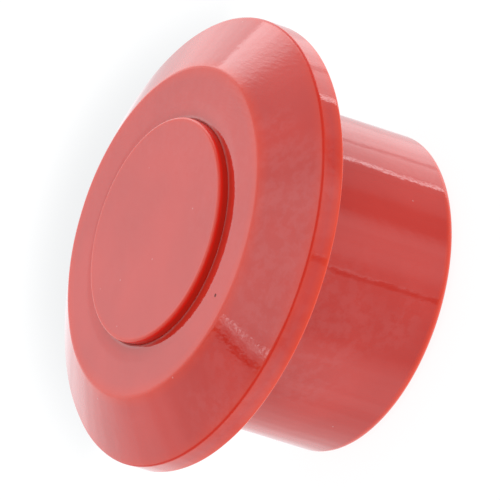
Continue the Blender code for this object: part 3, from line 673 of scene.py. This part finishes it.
def housing_corners(pocket_rim_z):
    """The outline of flange and barrel, from the hole's edge round the outside to the bore and the collar."""
    return [
        (HOLE_R, RING_Z - RING_DISH - HOLE_BEVEL_DROP, 0),
        (HOLE_R + HOLE_BEVEL, RING_Z - RING_DISH, 0.15),
        (HOLE_R + DISH_WIDTH, RING_Z, DISH_FILLET),
        (RING_R, RING_Z, RING_FILLET),
        (FLANGE_R, RIM_TOP_Z, RIM_FRONT_FILLET),
        (FLANGE_R, FLANGE_BACK_Z, RIM_BACK_FILLET),
        (RIM_INNER_R, FLANGE_BACK_Z, 0.15),
        (RIM_INNER_R, pocket_rim_z, 0.4),
        (BARREL_R, RING_UNDER_Z, 0.5),
        (BARREL_R, BARREL_END_Z, BARREL_END_FILLET),
        (BORE_R, BARREL_END_Z, 0.2),
        (BORE_R, RING_UNDER_Z, 0.3),
        (COLLAR_R, RING_UNDER_Z, 0.3),
        (COLLAR_R, COLLAR_END_Z, 0.2),
        (BUTTON_R + GAP, COLLAR_END_Z, 0.2),
        (BUTTON_R + GAP, RING_Z - 1, 0),
        (HOLE_R, RING_Z - 0.7, 0),
    ]


def add_ribs(housing, pocket_rim_z):
    """Ribs across the pocket behind the flange, from the barrel to the rim."""
    rib_base_z = FLANGE_BACK_Z + 0.3
    rib = [
        (BARREL_R - RIB_ROOT, rib_base_z),
        (RIM_INNER_R + RIB_ROOT, rib_base_z),
        (RIM_INNER_R + RIB_ROOT, pocket_rim_z + RIB_ROOT),
        (BARREL_R - RIB_ROOT, RING_UNDER_Z + RIB_ROOT),
    ]
    upright = Matrix.Rotation(math.radians(90), 4, "X")
    spokes = [Matrix.Rotation(math.tau * i / RIBS, 4, "Z") @ upright for i in range(RIBS)]
    join(housing, prisms(rib, -RIB_HALF, RIB_HALF, spokes))


def add_bosses(housing, angles, at, low, high, boss_r, pilot_r):
    """Bosses for screws, each with a web to the wall and a pilot hole that stops short of the ring."""
    places = [polar(at, angle) for angle in angles]
    join(housing, cylinders(places, boss_r, low, high))
    join(housing, boxes((at, -1.5, low + GAP), (BORE_R + 0.6, 1.5, high - GAP), angles))
    cut(housing, cylinders(places, pilot_r, low - 1, min(high, RING_UNDER_Z) - 2))


def housing_shell(material):
    """Flange and barrel in one moulding, with the ribs behind the flange and the bosses inside."""
    slope = (RING_Z - RIM_TOP_Z) / (FLANGE_R - RING_R)
    pocket_rim_z = RING_UNDER_Z - (RIM_INNER_R - BARREL_R) * slope
    made = add_object("housing_shell", turned_mesh(housing_corners(pocket_rim_z), closed=True))
    add_ribs(made, pocket_rim_z)
    cover_boss = (BARREL_END_Z + COVER_PLATE + GAP, BOARD_BASE_Z, COVER_BOSS_R, COVER_PILOT_R)
    add_bosses(made, COVER_SCREW_ANGLES, COVER_SCREW_AT, *cover_boss)
    carrier_boss = (CARRIER_TOP_Z + GAP, RING_UNDER_Z + 1.1, CARRIER_BOSS_R, CARRIER_PILOT_R)
    add_bosses(made, CARRIER_SCREW_ANGLES, CARRIER_SCREW_AT, *carrier_boss)
    ripple(made, amount=0.035, scale=140, picks=on_outside)
    # painted glow of light through the thin plastic at the rim's edges, the barrel's end and the ring's outer edge
    lighter_edges = [
        (FLANGE_R, FLANGE_BACK_Z, 1.2, 1.2),
        (FLANGE_R, RIM_TOP_Z, 1.0, 0.45),
        (BARREL_R, BARREL_END_Z, 1.5, 1.7),
        (RING_R, RING_Z, 1.3, 0.5),
    ]
    paint(made, "edge", lighter_edges)
    # painted deep red glow along the rim's front edge, in place of a dark reflection and light through the plastic
    paint(made, "deep_red_glow", [(FLANGE_R, RIM_TOP_Z, 0.32, 0.9)])
    # painted shade round the hole, darkest at the seam
    paint(made, "crevice_shade", [(HOLE_R, RING_Z, 1.3, 0.4)])
    # pale line in the seam: dust, and a painted highlight on the hole's bevel
    paint(made, "dust_and_highlight", [(HOLE_R + HOLE_BEVEL / 2, RING_Z - RING_DISH, 0.26, 2.6)])
    return finish_piece(made, "housing", ["housing"], material)


def on_outside(p, normal):
    """Whether a point in millimetres lies on the chamfer, the rim or the outside of the barrel."""
    radius = math.hypot(p.x, p.y)
    outward = (normal.x * p.x + normal.y * p.y) / max(radius, 1e-6)
    return radius > BARREL_R - 0.05 and outward > 0.3


def button_shell(material):
    """The cap with its softly rounded top edge, its lip and its stem."""
    inside_z = BUTTON_TOP_Z - 2.0
    lip_r = CAP_HIGH.x
    wall_r = BUTTON_R - 1.65
    stem_z = corners_of("switch_plunger")[1].z + GAP
    corners = [
        (0, BUTTON_TOP_Z, 0),
        (BUTTON_R, BUTTON_TOP_Z, BUTTON_FILLET),
        (BUTTON_R, LIP_TOP_Z, 0),
        (lip_r, LIP_TOP_Z, 0.15),
        (lip_r, CAP_LOW.z, 0.15),
        (wall_r, CAP_LOW.z, 0.1),
        (wall_r, inside_z, 0.4),
        (SEAT_R, inside_z, 0),
        (SEAT_R, inside_z - SEAT_HEIGHT, 0.15),
        (SEAT_R - 1, inside_z - SEAT_HEIGHT, 0.15),
        (SEAT_R - 1, inside_z, 0),
        (2.2, inside_z, 0.2),
        (2.2, stem_z, 0.3),
        (0, stem_z, 0),
    ]
    made = add_object("button_shell", turned_mesh(corners))
    keyways = [polar(CARRIER_SCREW_AT, angle) for angle in CARRIER_SCREW_ANGLES]
    cut(made, cylinders(keyways, KEYWAY_R, CAP_LOW.z - 1, LIP_TOP_Z + 1))
    # painted glow along the top edge, where light comes through the plastic
    paint(made, "edge", [(BUTTON_R, BUTTON_TOP_Z, 0.8, 0.7)])
    # painted deep red glow on the button's wall, where light comes through the plastic
    paint(made, "deep_red_glow", [(BUTTON_R, RING_Z, 1.2, 2.2)])
    # painted shade at the foot of the wall
    paint(made, "crevice_shade", [(BUTTON_R, RING_Z, 0.75, 1.0)])
    return finish_piece(made, "button", ["button_cap"], material)


def cover_shell(material):
    """Plate in the barrel's end: the battery well, screw and foot pockets, and slots for the sound."""
    top_z = BARREL_END_Z + COVER_PLATE
    ledge_z = BARREL_END_Z + DOOR_RIM + GAP
    neck_r = NECK_R + GAP
    corners = [
        (0, COVER_HIGH.z, 0),
        (WELL_R + 1, COVER_HIGH.z, 0.4),
        (WELL_R + 1, top_z, 0.4),
        (COVER_HIGH.x, top_z, 0.2),
        (COVER_HIGH.x, BARREL_END_Z, 0.25),
        (DOOR_HIGH_R + GAP, BARREL_END_Z, 0.2),
        (DOOR_HIGH_R + GAP, ledge_z, 0),
        (neck_r, ledge_z, 0.15),
        (neck_r, top_z, 0.15),
        (WELL_R, top_z, 0.2),
        (WELL_R, COVER_HIGH.z - 1.2, 0.4),
        (0, COVER_HIGH.z - 1.2, 0),
    ]
    made = add_object("cover_shell", turned_mesh(corners, run=3))
    stop_angles = [lug + turn for lug in LUG_ANGLES for turn in (-LUG_HALF - 4.5, DOOR_TURN + LUG_HALF + 4.5)]
    join(made, boxes((neck_r, -0.5, top_z - GAP), (WELL_R + 0.5, 0.5, LUG_TOP_Z), stop_angles))
    screws = [polar(COVER_SCREW_AT, angle) for angle in COVER_SCREW_ANGLES]
    feet = [polar(FOOT_AT, angle) for angle in FOOT_ANGLES]
    cut(made, cylinders(screws, COVER_HOLE_R, 0, top_z + 1))
    cut(made, cylinders(screws, HEAD_POCKET_R, 0, BARREL_END_Z + HEAD_POCKET_DEPTH))
    cut(made, cylinders(feet, FOOT_R + GAP, 0, BARREL_END_Z + FOOT_POCKET_DEPTH))
    gates = [lug + DOOR_TURN for lug in LUG_ANGLES]
    gate_half = LUG_WIDTH / 2 + 0.4
    cut(made, boxes((NECK_R - 0.2, -gate_half, ledge_z - GAP), (WELL_R - 0.1, gate_half, top_z + 0.1), gates))
    out = Matrix.Translation((COVER_SCREW_AT * MM, 0, 0))
    slots = [
        Matrix.Rotation(math.radians(sector + spread), 4, "Z") @ out
        for sector in range(0, 360, 60)
        for spread in (-8, 0, 8)
    ]
    cut(made, prisms(stadium(*SOUND_SLOT), 0, top_z + 1, slots))
    for x in CONTACT_SLOTS_X:
        cut(made, boxes((x - 0.45, -2.3, COVER_HIGH.z - 1.7), (x + 0.45, 2.3, COVER_HIGH.z + 0.5), [0]))
    marks = [polar(MARKS_AT, POINTER_ANGLE), polar(MARKS_AT, POINTER_ANGLE + DOOR_TURN)]
    cut(made, cylinders(marks, 0.35, 0, BARREL_END_Z + 0.3, 24))
    return finish_piece(made, "housing", ["base_cover"], material)


def door_shell(material):
    """The battery door: a cup with three lugs, a coin slot and a pointer."""
    low, high = DOOR_LOW.z, DOOR_HIGH.z
    cup_r = NECK_R - 1.4
    corners = [
        (0, low + 1.2, 0),
        (cup_r, low + 1.2, 0.3),
        (cup_r, high, 0.2),
        (NECK_R, high, 0.25),
        (NECK_R, low + DOOR_RIM, 0.1),
        (DOOR_HIGH_R, low + DOOR_RIM, 0.15),
        (DOOR_HIGH_R, low, 0.3),
        (0, low, 0),
    ]
    made = add_object("door_shell", turned_mesh(corners, run=3))
    half = LUG_WIDTH / 2
    join(made, boxes((cup_r + 0.6, -half, LUG_TOP_Z - 0.7), (LUG_REACH, half, LUG_TOP_Z), LUG_ANGLES))
    cut(made, prisms(stadium(15, 1.8), -1, 0.7 + low, [Matrix.Identity(4)]))
    pointer = [(11.9, 0.0), (10.6, 0.75), (10.6, -0.75)]
    cut(made, prisms(pointer, -1, 0.3 + low, [Matrix.Rotation(math.radians(POINTER_ANGLE), 4, "Z")]))
    edges = made.modifiers.new("Edges", "BEVEL")
    edges.width = 0.08 * MM
    edges.segments = 2
    edges.limit_method = "ANGLE"
    edges.angle_limit = math.radians(60)
    bake(made)
    return finish_piece(made, "battery_door", ["battery_door"], material)


def foot_pad(number, material):
    """A rubber pad with a rounded rim and a shallow dish in its face."""
    node = f"foot_{number + 1}"
    low, high = corners_of(node)
    dish_z = low.z + 0.12
    corners = [
        (0, high.z, 0),
        (FOOT_R, high.z, 0.1),
        (FOOT_R, low.z, 0.35),
        (FOOT_R - 0.9, low.z, 0.1),
        (FOOT_R - 1.1, dish_z, 0.1),
        (0, dish_z, 0),
    ]
    shape = turned_mesh(corners, steps=SMALL_STEPS, arc_steps=4)
    bmesh.ops.translate(shape, verts=shape.verts, vec=polar(FOOT_AT, FOOT_ANGLES[number]) * MM)
    made = add_object(f"foot_pad_{number + 1}", shape)
    return finish_piece(made, "housing", [node], material)


def screw(node, at, turn, sizes, material):
    """A cross-head screw in place of a CAD one: a crowned head down, a threaded shank up."""
    head_r, head_height, shank_r = sizes
    core_r = shank_r - THREAD_DEPTH
    low, high = corners_of(node)
    thread = []
    z = low.z + head_height + 0.6
    while z < high.z - 1.0:
        thread += [(core_r, z + THREAD_PITCH * 0.35, 0), (shank_r, z, 0)]
        z += THREAD_PITCH
    corners = [
        (0, high.z, 0),
        (shank_r * 0.3, high.z, 0),
        (core_r, high.z - 0.8, 0),
        *reversed(thread),
        (shank_r - 0.1, low.z + head_height + 0.3, 0),
        (shank_r, low.z + head_height, 0),
        (head_r, low.z + head_height, 0.08),
        (head_r, low.z + head_height * 0.25, head_height * 0.3),
        (head_r * 0.55, low.z, head_height * 0.4),
        (0, low.z, 0),
    ]
    shape = turned_mesh(corners, steps=32, arc_steps=3)
    made = add_object(node + "_part", shape)
    arm, slot = head_r * 0.58, 0.2
    for length, width in ((arm, slot), (slot, arm)):
        cut(made, boxes((-length, -width, low.z - 1), (length, width, low.z + head_height * 0.6), [0]))
    place = Matrix.Translation(at * MM) @ Matrix.Rotation(math.radians(turn), 4, "Z")
    made.data.transform(place)
    return finish_piece(made, "housing", [node], material)


# ---- Spring, electronics and battery ----


def turned_part(name, node, corners, material, at=(0, 0), lie=False, body="housing", steps=64):
    """A turned piece in place of a CAD node: its profile's heights are from the node's top, downwards."""
    shape = turned_mesh(corners, steps=steps, arc_steps=5, run=2)
    low, high = corners_of(node)
    if lie:
        turn = Matrix.Rotation(math.radians(90), 4, "Y")
        shift = Vector((at[0], at[1], (low.z + high.z) / 2))
    else:
        turn = Matrix.Identity(4)
        shift = Vector((at[0], at[1], high.z))
    bmesh.ops.transform(shape, matrix=Matrix.Translation(shift * MM) @ turn, verts=shape.verts)
    made = add_object(name, shape)
    return finish_piece(made, body, [node], material)


def middle(node):
    low, high = corners_of(node)
    return ((low.x + high.x) / 2, (low.y + high.y) / 2)


def coil_line(coil_r, start, end):
    """The middle of the spring's wire: a closed coil at either end and open ones between."""
    closed_pitch = 2 * WIRE_R + 0.1
    open_pitch = (end - start - 2 * closed_pitch) / (COILS - 2)
    points = []
    z = start
    for step in range(COILS * STEPS_PER_COIL + 1):
        share = step / STEPS_PER_COIL
        points.append(polar(coil_r, 360 * share, z))
        lead = min(1.0, max(0.0, min(share - 0.75, COILS - 0.75 - share) * 2))
        z += (closed_pitch + (open_pitch - closed_pitch) * lead) / STEPS_PER_COIL
    drop = (points[-1].z - end) / (COILS * STEPS_PER_COIL)
    for step, point in enumerate(points):
        point.z -= drop * step
    return points


def wire_mesh(points, radius):
    """A bmesh of round wire along points in millimetres."""
    curve = bpy.data.curves.new("wire", "CURVE")
    curve.dimensions = "3D"
    curve.bevel_depth = radius * MM
    curve.bevel_resolution = 4
    curve.use_fill_caps = True
    line = curve.splines.new("POLY")
    line.points.add(len(points) - 1)
    for target, point in zip(line.points, points):
        target.co = (*(point * MM), 1)
    drawn = bpy.data.objects.new("wire", curve)
    bpy.context.scene.collection.objects.link(drawn)
    graph = bpy.context.evaluated_depsgraph_get()
    mesh = bpy.data.meshes.new_from_object(drawn.evaluated_get(graph))
    bpy.data.objects.remove(drawn)
    shape = bmesh.new()
    shape.from_mesh(mesh)
    bmesh.ops.remove_doubles(shape, verts=shape.verts, dist=1e-6)
    return shape


def spring_coil(material):
    """The return spring, closed at both ends, on a mesh of its own."""
    low, high = corners_of("return_spring")
    line = coil_line(high.x - WIRE_R, low.z + WIRE_R, high.z - WIRE_R)
    made = add_object("spring_coil", wire_mesh(line, WIRE_R))
    finish_piece(made, "housing", ["return_spring"], material, 60)
    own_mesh(made)


def sounder_drum(material):
    """A drum, hollow above its floor, with a stepped sound hole."""
    corners = [
        (0, 0, 0),
        (6.0, 0, 0.2),
        (6.0, -5.5, 0.5),
        (1.9, -5.5, 0.1),
        (1.7, -5.25, 0.1),
        (1.2, -5.25, 0.1),
        (1.2, -4.5, 0.1),
        (5.0, -4.5, 0),
        (5.0, -1.0, 0),
        (0, -1.0, 0),
    ]
    turned_part("sounder_drum", "sounder", corners, material, middle("sounder"))


def capacitor_can(material):
    """A sleeved can with its crimp groove and sunken end."""
    corners = [
        (0, 0, 0),
        (2.0, 0, 0.25),
        (2.0, -0.6, 0.1),
        (1.75, -0.9, 0.15),
        (2.0, -1.2, 0.1),
        (2.0, -5.0, 0.35),
        (1.5, -5.0, 0.05),
        (1.45, -4.9, 0.05),
        (0, -4.9, 0),
    ]
    turned_part("capacitor_can", "capacitor", corners, material, middle("capacitor"))


def resistor_body(material):
    """A lying body with swollen ends and a lead out of each."""
    half = [
        (0, 4.6, 0),
        (0.3, 4.6, 0.05),
        (0.3, 2.8, 0.1),
        (1.15, 2.8, 0.5),
        (1.15, 1.6, 0.4),
        (0.9, 1.3, 0.3),
    ]
    corners = half + [(x, -z, fillet) for x, z, fillet in reversed(half)]
    at = middle("resistor")
    turned_part("resistor_body", "resistor", corners, material, at, lie=True)


def plunger_pin(material):
    corners = [(0, 0, 0), (1.65, 0, 0.3), (1.65, -3.5, 0.1), (0, -3.5, 0)]
    turned_part("plunger_pin", "switch_plunger", corners, material, body="switch_plunger")


def coin_cell(material):
    """A can with a rolled edge round its raised cap."""
    corners = [
        (0, 0, 0),
        (8.7, 0, 0.25),
        (9.0, -0.35, 0.1),
        (9.15, -0.45, 0.05),
        (10.0, -0.5, 0.4),
        (10.0, -3.2, 0.35),
        (0, -3.2, 0),
    ]
    turned_part("coin_cell", "battery", corners, material, steps=192)


# ---- Camera, floor and light ----


# The camera looks down on the ring, 29.7 degrees above its plane, and is rolled so that the buzzer lies on
# its side
BACK = Vector((0, -0.8686, 0.4956)).normalized()
AXIS_ROLL = math.radians(17.51)  # the axis's slope in the picture
FOCAL = 20.0  # focal length over sensor width
SENSOR = 36.0
FLANGE_PLACE = Vector((-0.1612, 0.0102, -42.961))  # of the flange's back seen by the camera, in flange radii


def camera_axes():
    """The camera's right and up directions, so that +Z runs left and up at the axis's slope."""
    along = (Vector((0, 0, 1)) - BACK * BACK.z).normalized()
    across = BACK.cross(along)
    right = -math.cos(AXIS_ROLL) * along - math.sin(AXIS_ROLL) * across
    up = math.sin(AXIS_ROLL) * along - math.cos(AXIS_ROLL) * across
    return right, up


RIGHT, UP = camera_axes()


def add_camera():
    data = bpy.data.cameras.new("camera")
    data.sensor_width = SENSOR
    data.lens = FOCAL * data.sensor_width
    data.clip_start = 0.01
    data.clip_end = 20
    made = bpy.data.objects.new("camera", data)
    bpy.context.scene.collection.objects.link(made)
    flange_back = Vector((0, 0, FLANGE_BACK_Z))
    offset = FLANGE_R * FLANGE_PLACE
    place = flange_back - offset.x * RIGHT - offset.y * UP - offset.z * BACK
    rotation = Matrix((RIGHT, UP, BACK)).transposed().to_4x4()
    made.matrix_world = Matrix.Translation(place * MM) @ rotation
    bpy.context.scene.camera = made


LEVEL = math.radians(10.5)  # the table's slope to the line of sight
TABLE_UP = UP * math.cos(LEVEL) + BACK * math.sin(LEVEL)
TABLE_AWAY = UP * math.sin(LEVEL) - BACK * math.cos(LEVEL)


# Soft boxes and dark gaps of the light tent, seen from the buzzer as it lies. Each has the bearings of its
# sides in degrees to the right of straight away from the camera, with the softness of either side, its
# elevations the same way, its radiance, and how far it is broken up into sparks. Later ones lie over earlier
TENT = [
    ((-30, 90, 20, 20), (-90, -8, 5, 10), 1.22, 0),
    ((90, 180, 20, 5), (-90, -46, 5, 8), 1.60, 0),
    ((-100, -20, 25, 12), (-40, 60, 15, 25), 1.42, 0),
    ((-88, -28, 22, 16), (-8, 26, 12, 12), 1.66, 0),
    ((-150, -92, 10, 22), (2, 46, 5, 12), 2.1, 0),
    ((-50, 50, 16, 2), (16, 80, 16, 20), 2.35, 0),
    ((-44, -33.2, 15, 0.4), (28, 60, 12, 20), 4.4, 0),
    ((30.2, 33.6, 1.2, 1.2), (26, 60, 5, 10), 1.65, 0),
    ((53.5, 100, 1.0, 4), (26, 60, 5, 10), 0.9, 0),
    ((50.4, 54.6, 0.8, 0.8), (30, 60, 6, 10), 6.0, 0.8),
    ((80, 97, 6, 4), (26, 60, 5, 10), 0.6, 0),
    ((99, 125, 5, 14), (8, 40, 6, 10), 1.5, 0),
    ((92, 150, 10, 8), (-9, -2, 6, 4), 0.95, 0),
    ((104, 150, 10, 8), (-2.6, 0.1, 0.6, 0.4), 0.35, 0),
    ((112, 130, 5, 4), (0.6, 1.1, 0.3, 0.3), 2.4, 1),
    ((-150, -97, 8, 5), (-2.3, -1.1, 0.4, 0.4), 0.05, 0),
    ((-122, -104, 1.2, 3), (0.7, 1.6, 0.3, 0.4), 2.4, 0),
    ((-116, -114.1, 0.5, 0.3), (1.3, 2.0, 0.5, 0.5), 6.5, 0),
]
TENT_BASE = 1.0
TENT_DIFFUSE_MOST = 1.8  # the most radiance that a box gives to a matte bounce
TENT_TINT = (0.985, 1.0, 1.03)
FLOOR_REACH = 6  # metres
FLOOR_SEEN = 0.93  # the floor's own glow as the camera sees it, with the tent's light on it added
FLOOR_GLOW = 1.5  # its glow to everything else
SHADE_HALVES = (0.66, 1.03)  # half the shade's size along the axis and across it, in flange radii
SHADE_TINT = (0.80, 0.808, 0.812)


def backdrop_shade(graph):
    """A faint cool shade on the table beside the button's side of the flange, as the camera sees it."""
    axis = (Vector((0, 0, 1)) - BACK * BACK.z).normalized()
    to_rim = Vector((0, 0, RIM_TOP_Z * MM)) - bpy.context.scene.camera.matrix_world.translation
    reach = FLANGE_R * MM / to_rim.length
    offsets = []
    incoming = graph.node("ShaderNodeNewGeometry").outputs["Incoming"]
    for direction, share in zip((axis, BACK.cross(axis)), SHADE_HALVES):
        off = graph.math("SUBTRACT", graph.dot(incoming, -direction), to_rim.normalized().dot(direction))
        offsets.append(graph.math("DIVIDE", off, reach * share))
    squares = [graph.math("MULTIPLY", off, off) for off in offsets]
    away = graph.math("SQRT", graph.math("ADD", *squares))
    return graph.math("MULTIPLY", graph.ramp(away, 1.25, 0.72), graph.ramp(offsets[0], 0.0, 0.3))


def between(graph, value, low, high, soft_low, soft_high):
    """1 between two limits and 0 outside them, changing over a softness either side of each."""
    above = graph.ramp(value, low - soft_low, low + soft_low)
    below = graph.ramp(value, high + soft_high, high - soft_high)
    return graph.math("MULTIPLY", above, below)


def add_tent():
    """A white light tent as the world: plain white to the camera, soft boxes to everything else."""
    world = bpy.data.worlds.new("tent")
    bpy.context.scene.world = world
    world.use_nodes = True
    graph = Graph(world.node_tree)
    ray = graph.node("ShaderNodeTexCoord").outputs["Generated"]
    elevation = graph.math("ARCSINE", graph.dot(ray, TABLE_UP))
    elevation = graph.math("MULTIPLY", elevation, math.degrees(1))
    bearing = graph.math("ARCTAN2", graph.dot(ray, RIGHT), graph.dot(ray, TABLE_AWAY))
    bearing = graph.math("MULTIPLY", bearing, math.degrees(1))
    radiance = TENT_BASE
    folds = graph.noise(ray, 9, 3, 0.6, 0.6)
    sparks = graph.ramp(graph.noise(ray, 60, 3, 0.6), 0.46, 0.60)
    for sides, heights, value, broken in TENT:
        inside = graph.math("MULTIPLY", between(graph, bearing, *sides), between(graph, elevation, *heights))
        if broken:
            inside = graph.math("MULTIPLY", inside, graph.blend(broken, 1.0, sparks))
        radiance = graph.blend(inside, radiance, value)
    radiance = graph.math("MULTIPLY", radiance, graph.ramp(folds, 0.3, 0.7, 0.92, 1.08))
    path = graph.node("ShaderNodeLightPath")
    held = graph.math("MINIMUM", radiance, TENT_DIFFUSE_MOST)
    radiance = graph.blend(path.outputs["Is Diffuse Ray"], radiance, held)
    seen = path.outputs["Is Camera Ray"]
    radiance = graph.blend(seen, radiance, 1.0)
    light = graph.node("ShaderNodeBackground")
    graph.feed(light.inputs["Color"], graph.mix(seen, colour(*TENT_TINT), colour(1, 1, 1)))
    graph.feed(light.inputs["Strength"], radiance)
    out = graph.node("ShaderNodeOutputWorld")
    graph.tree.links.new(light.outputs[0], out.inputs[0])


def add_floor():
    """A pale table top under the feet, seen only from above and left out of the reflections."""
    shape = bmesh.new()
    bmesh.ops.create_grid(shape, x_segments=1, y_segments=1, size=FLOOR_REACH)
    made = add_object("floor", shape)
    material = bpy.data.materials.new("pale_floor")
    material.use_nodes = True
    graph = Graph(material.node_tree)
    glow = graph.node("ShaderNodeEmission")
    seen = graph.node("ShaderNodeLightPath").outputs["Is Camera Ray"]
    graph.feed(glow.inputs["Strength"], graph.blend(seen, FLOOR_GLOW, FLOOR_SEEN))
    shade_share = graph.math("MULTIPLY", backdrop_shade(graph), seen)
    graph.feed(glow.inputs["Color"], graph.mix(shade_share, colour(1, 1, 1), colour(*SHADE_TINT)))
    sheet = graph.node("ShaderNodeBsdfDiffuse")
    sheet.inputs["Color"].default_value = colour(0.1, 0.1, 0.1)
    both = graph.node("ShaderNodeAddShader")
    graph.tree.links.new(glow.outputs[0], both.inputs[0])
    graph.tree.links.new(sheet.outputs[0], both.inputs[1])
    clear = graph.node("ShaderNodeBsdfTransparent")
    side = graph.node("ShaderNodeMixShader")
    graph.feed(side.inputs[0], graph.node("ShaderNodeNewGeometry").outputs["Backfacing"])
    graph.tree.links.new(both.outputs[0], side.inputs[1])
    graph.tree.links.new(clear.outputs[0], side.inputs[2])
    out = graph.node("ShaderNodeOutputMaterial")
    graph.tree.links.new(side.outputs[0], out.inputs[0])
    made.data.materials.append(material)
    made.visible_glossy = False


# ---- Scene ----

BODY_RED = (0.417, 0.0200, 0.0118)

bpy.context.scene.view_settings.view_transform = "Standard"
housing_shell(gloss_red("red_gloss", BODY_RED, 1.1))
button_shell(gloss_red("button_gloss", BODY_RED, 1.7))
satin = moulded("red_satin", (0.36, 0.0185, 0.0125), 0.3, 700, 0.000012, wear=0.25)
cover_shell(satin)
door_shell(satin)
rubber = moulded("foot_rubber", (0.022, 0.022, 0.024), 0.7, 1400, 0.00001, sheen=0.2)
for number in range(len(FOOT_ANGLES)):
    foot_pad(number, rubber)

steel = drawn_metal("plated_steel", (0.66, 0.67, 0.70), 0.26)
for number, angle in enumerate(COVER_SCREW_ANGLES):
    screw(f"cover_screw_{number + 1}", polar(COVER_SCREW_AT, angle), angle + 25 * number, COVER_SCREW, steel)
for number, angle in enumerate(CARRIER_SCREW_ANGLES):
    screw(f"carrier_screw_{number + 1}", polar(CARRIER_SCREW_AT, angle), 40 * number, INNER_SCREW, steel)
for number, angle in enumerate(BOARD_SCREW_ANGLES):
    screw(f"board_screw_{number + 1}", polar(BOARD_SCREW_AT, angle), 30 * number, INNER_SCREW, steel)

black = moulded("black_plastic", (0.02, 0.02, 0.022), 0.42, 1200, 0.000006)
natural = moulded("natural_plastic", (0.70, 0.68, 0.62), 0.42, 900, 0.000006)
spring_coil(drawn_metal("spring_steel", (0.62, 0.62, 0.64), 0.22, (0.3, 0.3, 1)))
sounder_drum(black)
capacitor_can(moulded("capacitor_sleeve", (0.02, 0.05, 0.16), 0.3, 600, 0.000003))
resistor_body(banded("resistor_lacquer", middle("resistor")[0]))
plunger_pin(natural)
coin_cell(drawn_metal("cell_steel", (0.72, 0.72, 0.73), 0.2, (0.05, 1, 1)))

nickel = drawn_metal("contact_nickel", (0.74, 0.72, 0.66), 0.24)
KEPT = {
    "switch_carrier": natural,
    "circuit_board": laminate("board_laminate"),
    "switch_body": black,
    "sound_chip": black,
    "transistor": black,
    "contact_positive": nickel,
    "contact_negative": nickel,
    "battery_wire_red": moulded("red_insulation", (0.55, 0.02, 0.02), 0.35),
    "battery_wire_black": moulded("black_insulation", (0.015, 0.015, 0.016), 0.35),
}
for name, material in KEPT.items():
    frame["nodes"][name].material_slots[0].material = material

add_camera()
add_tent()
add_floor()
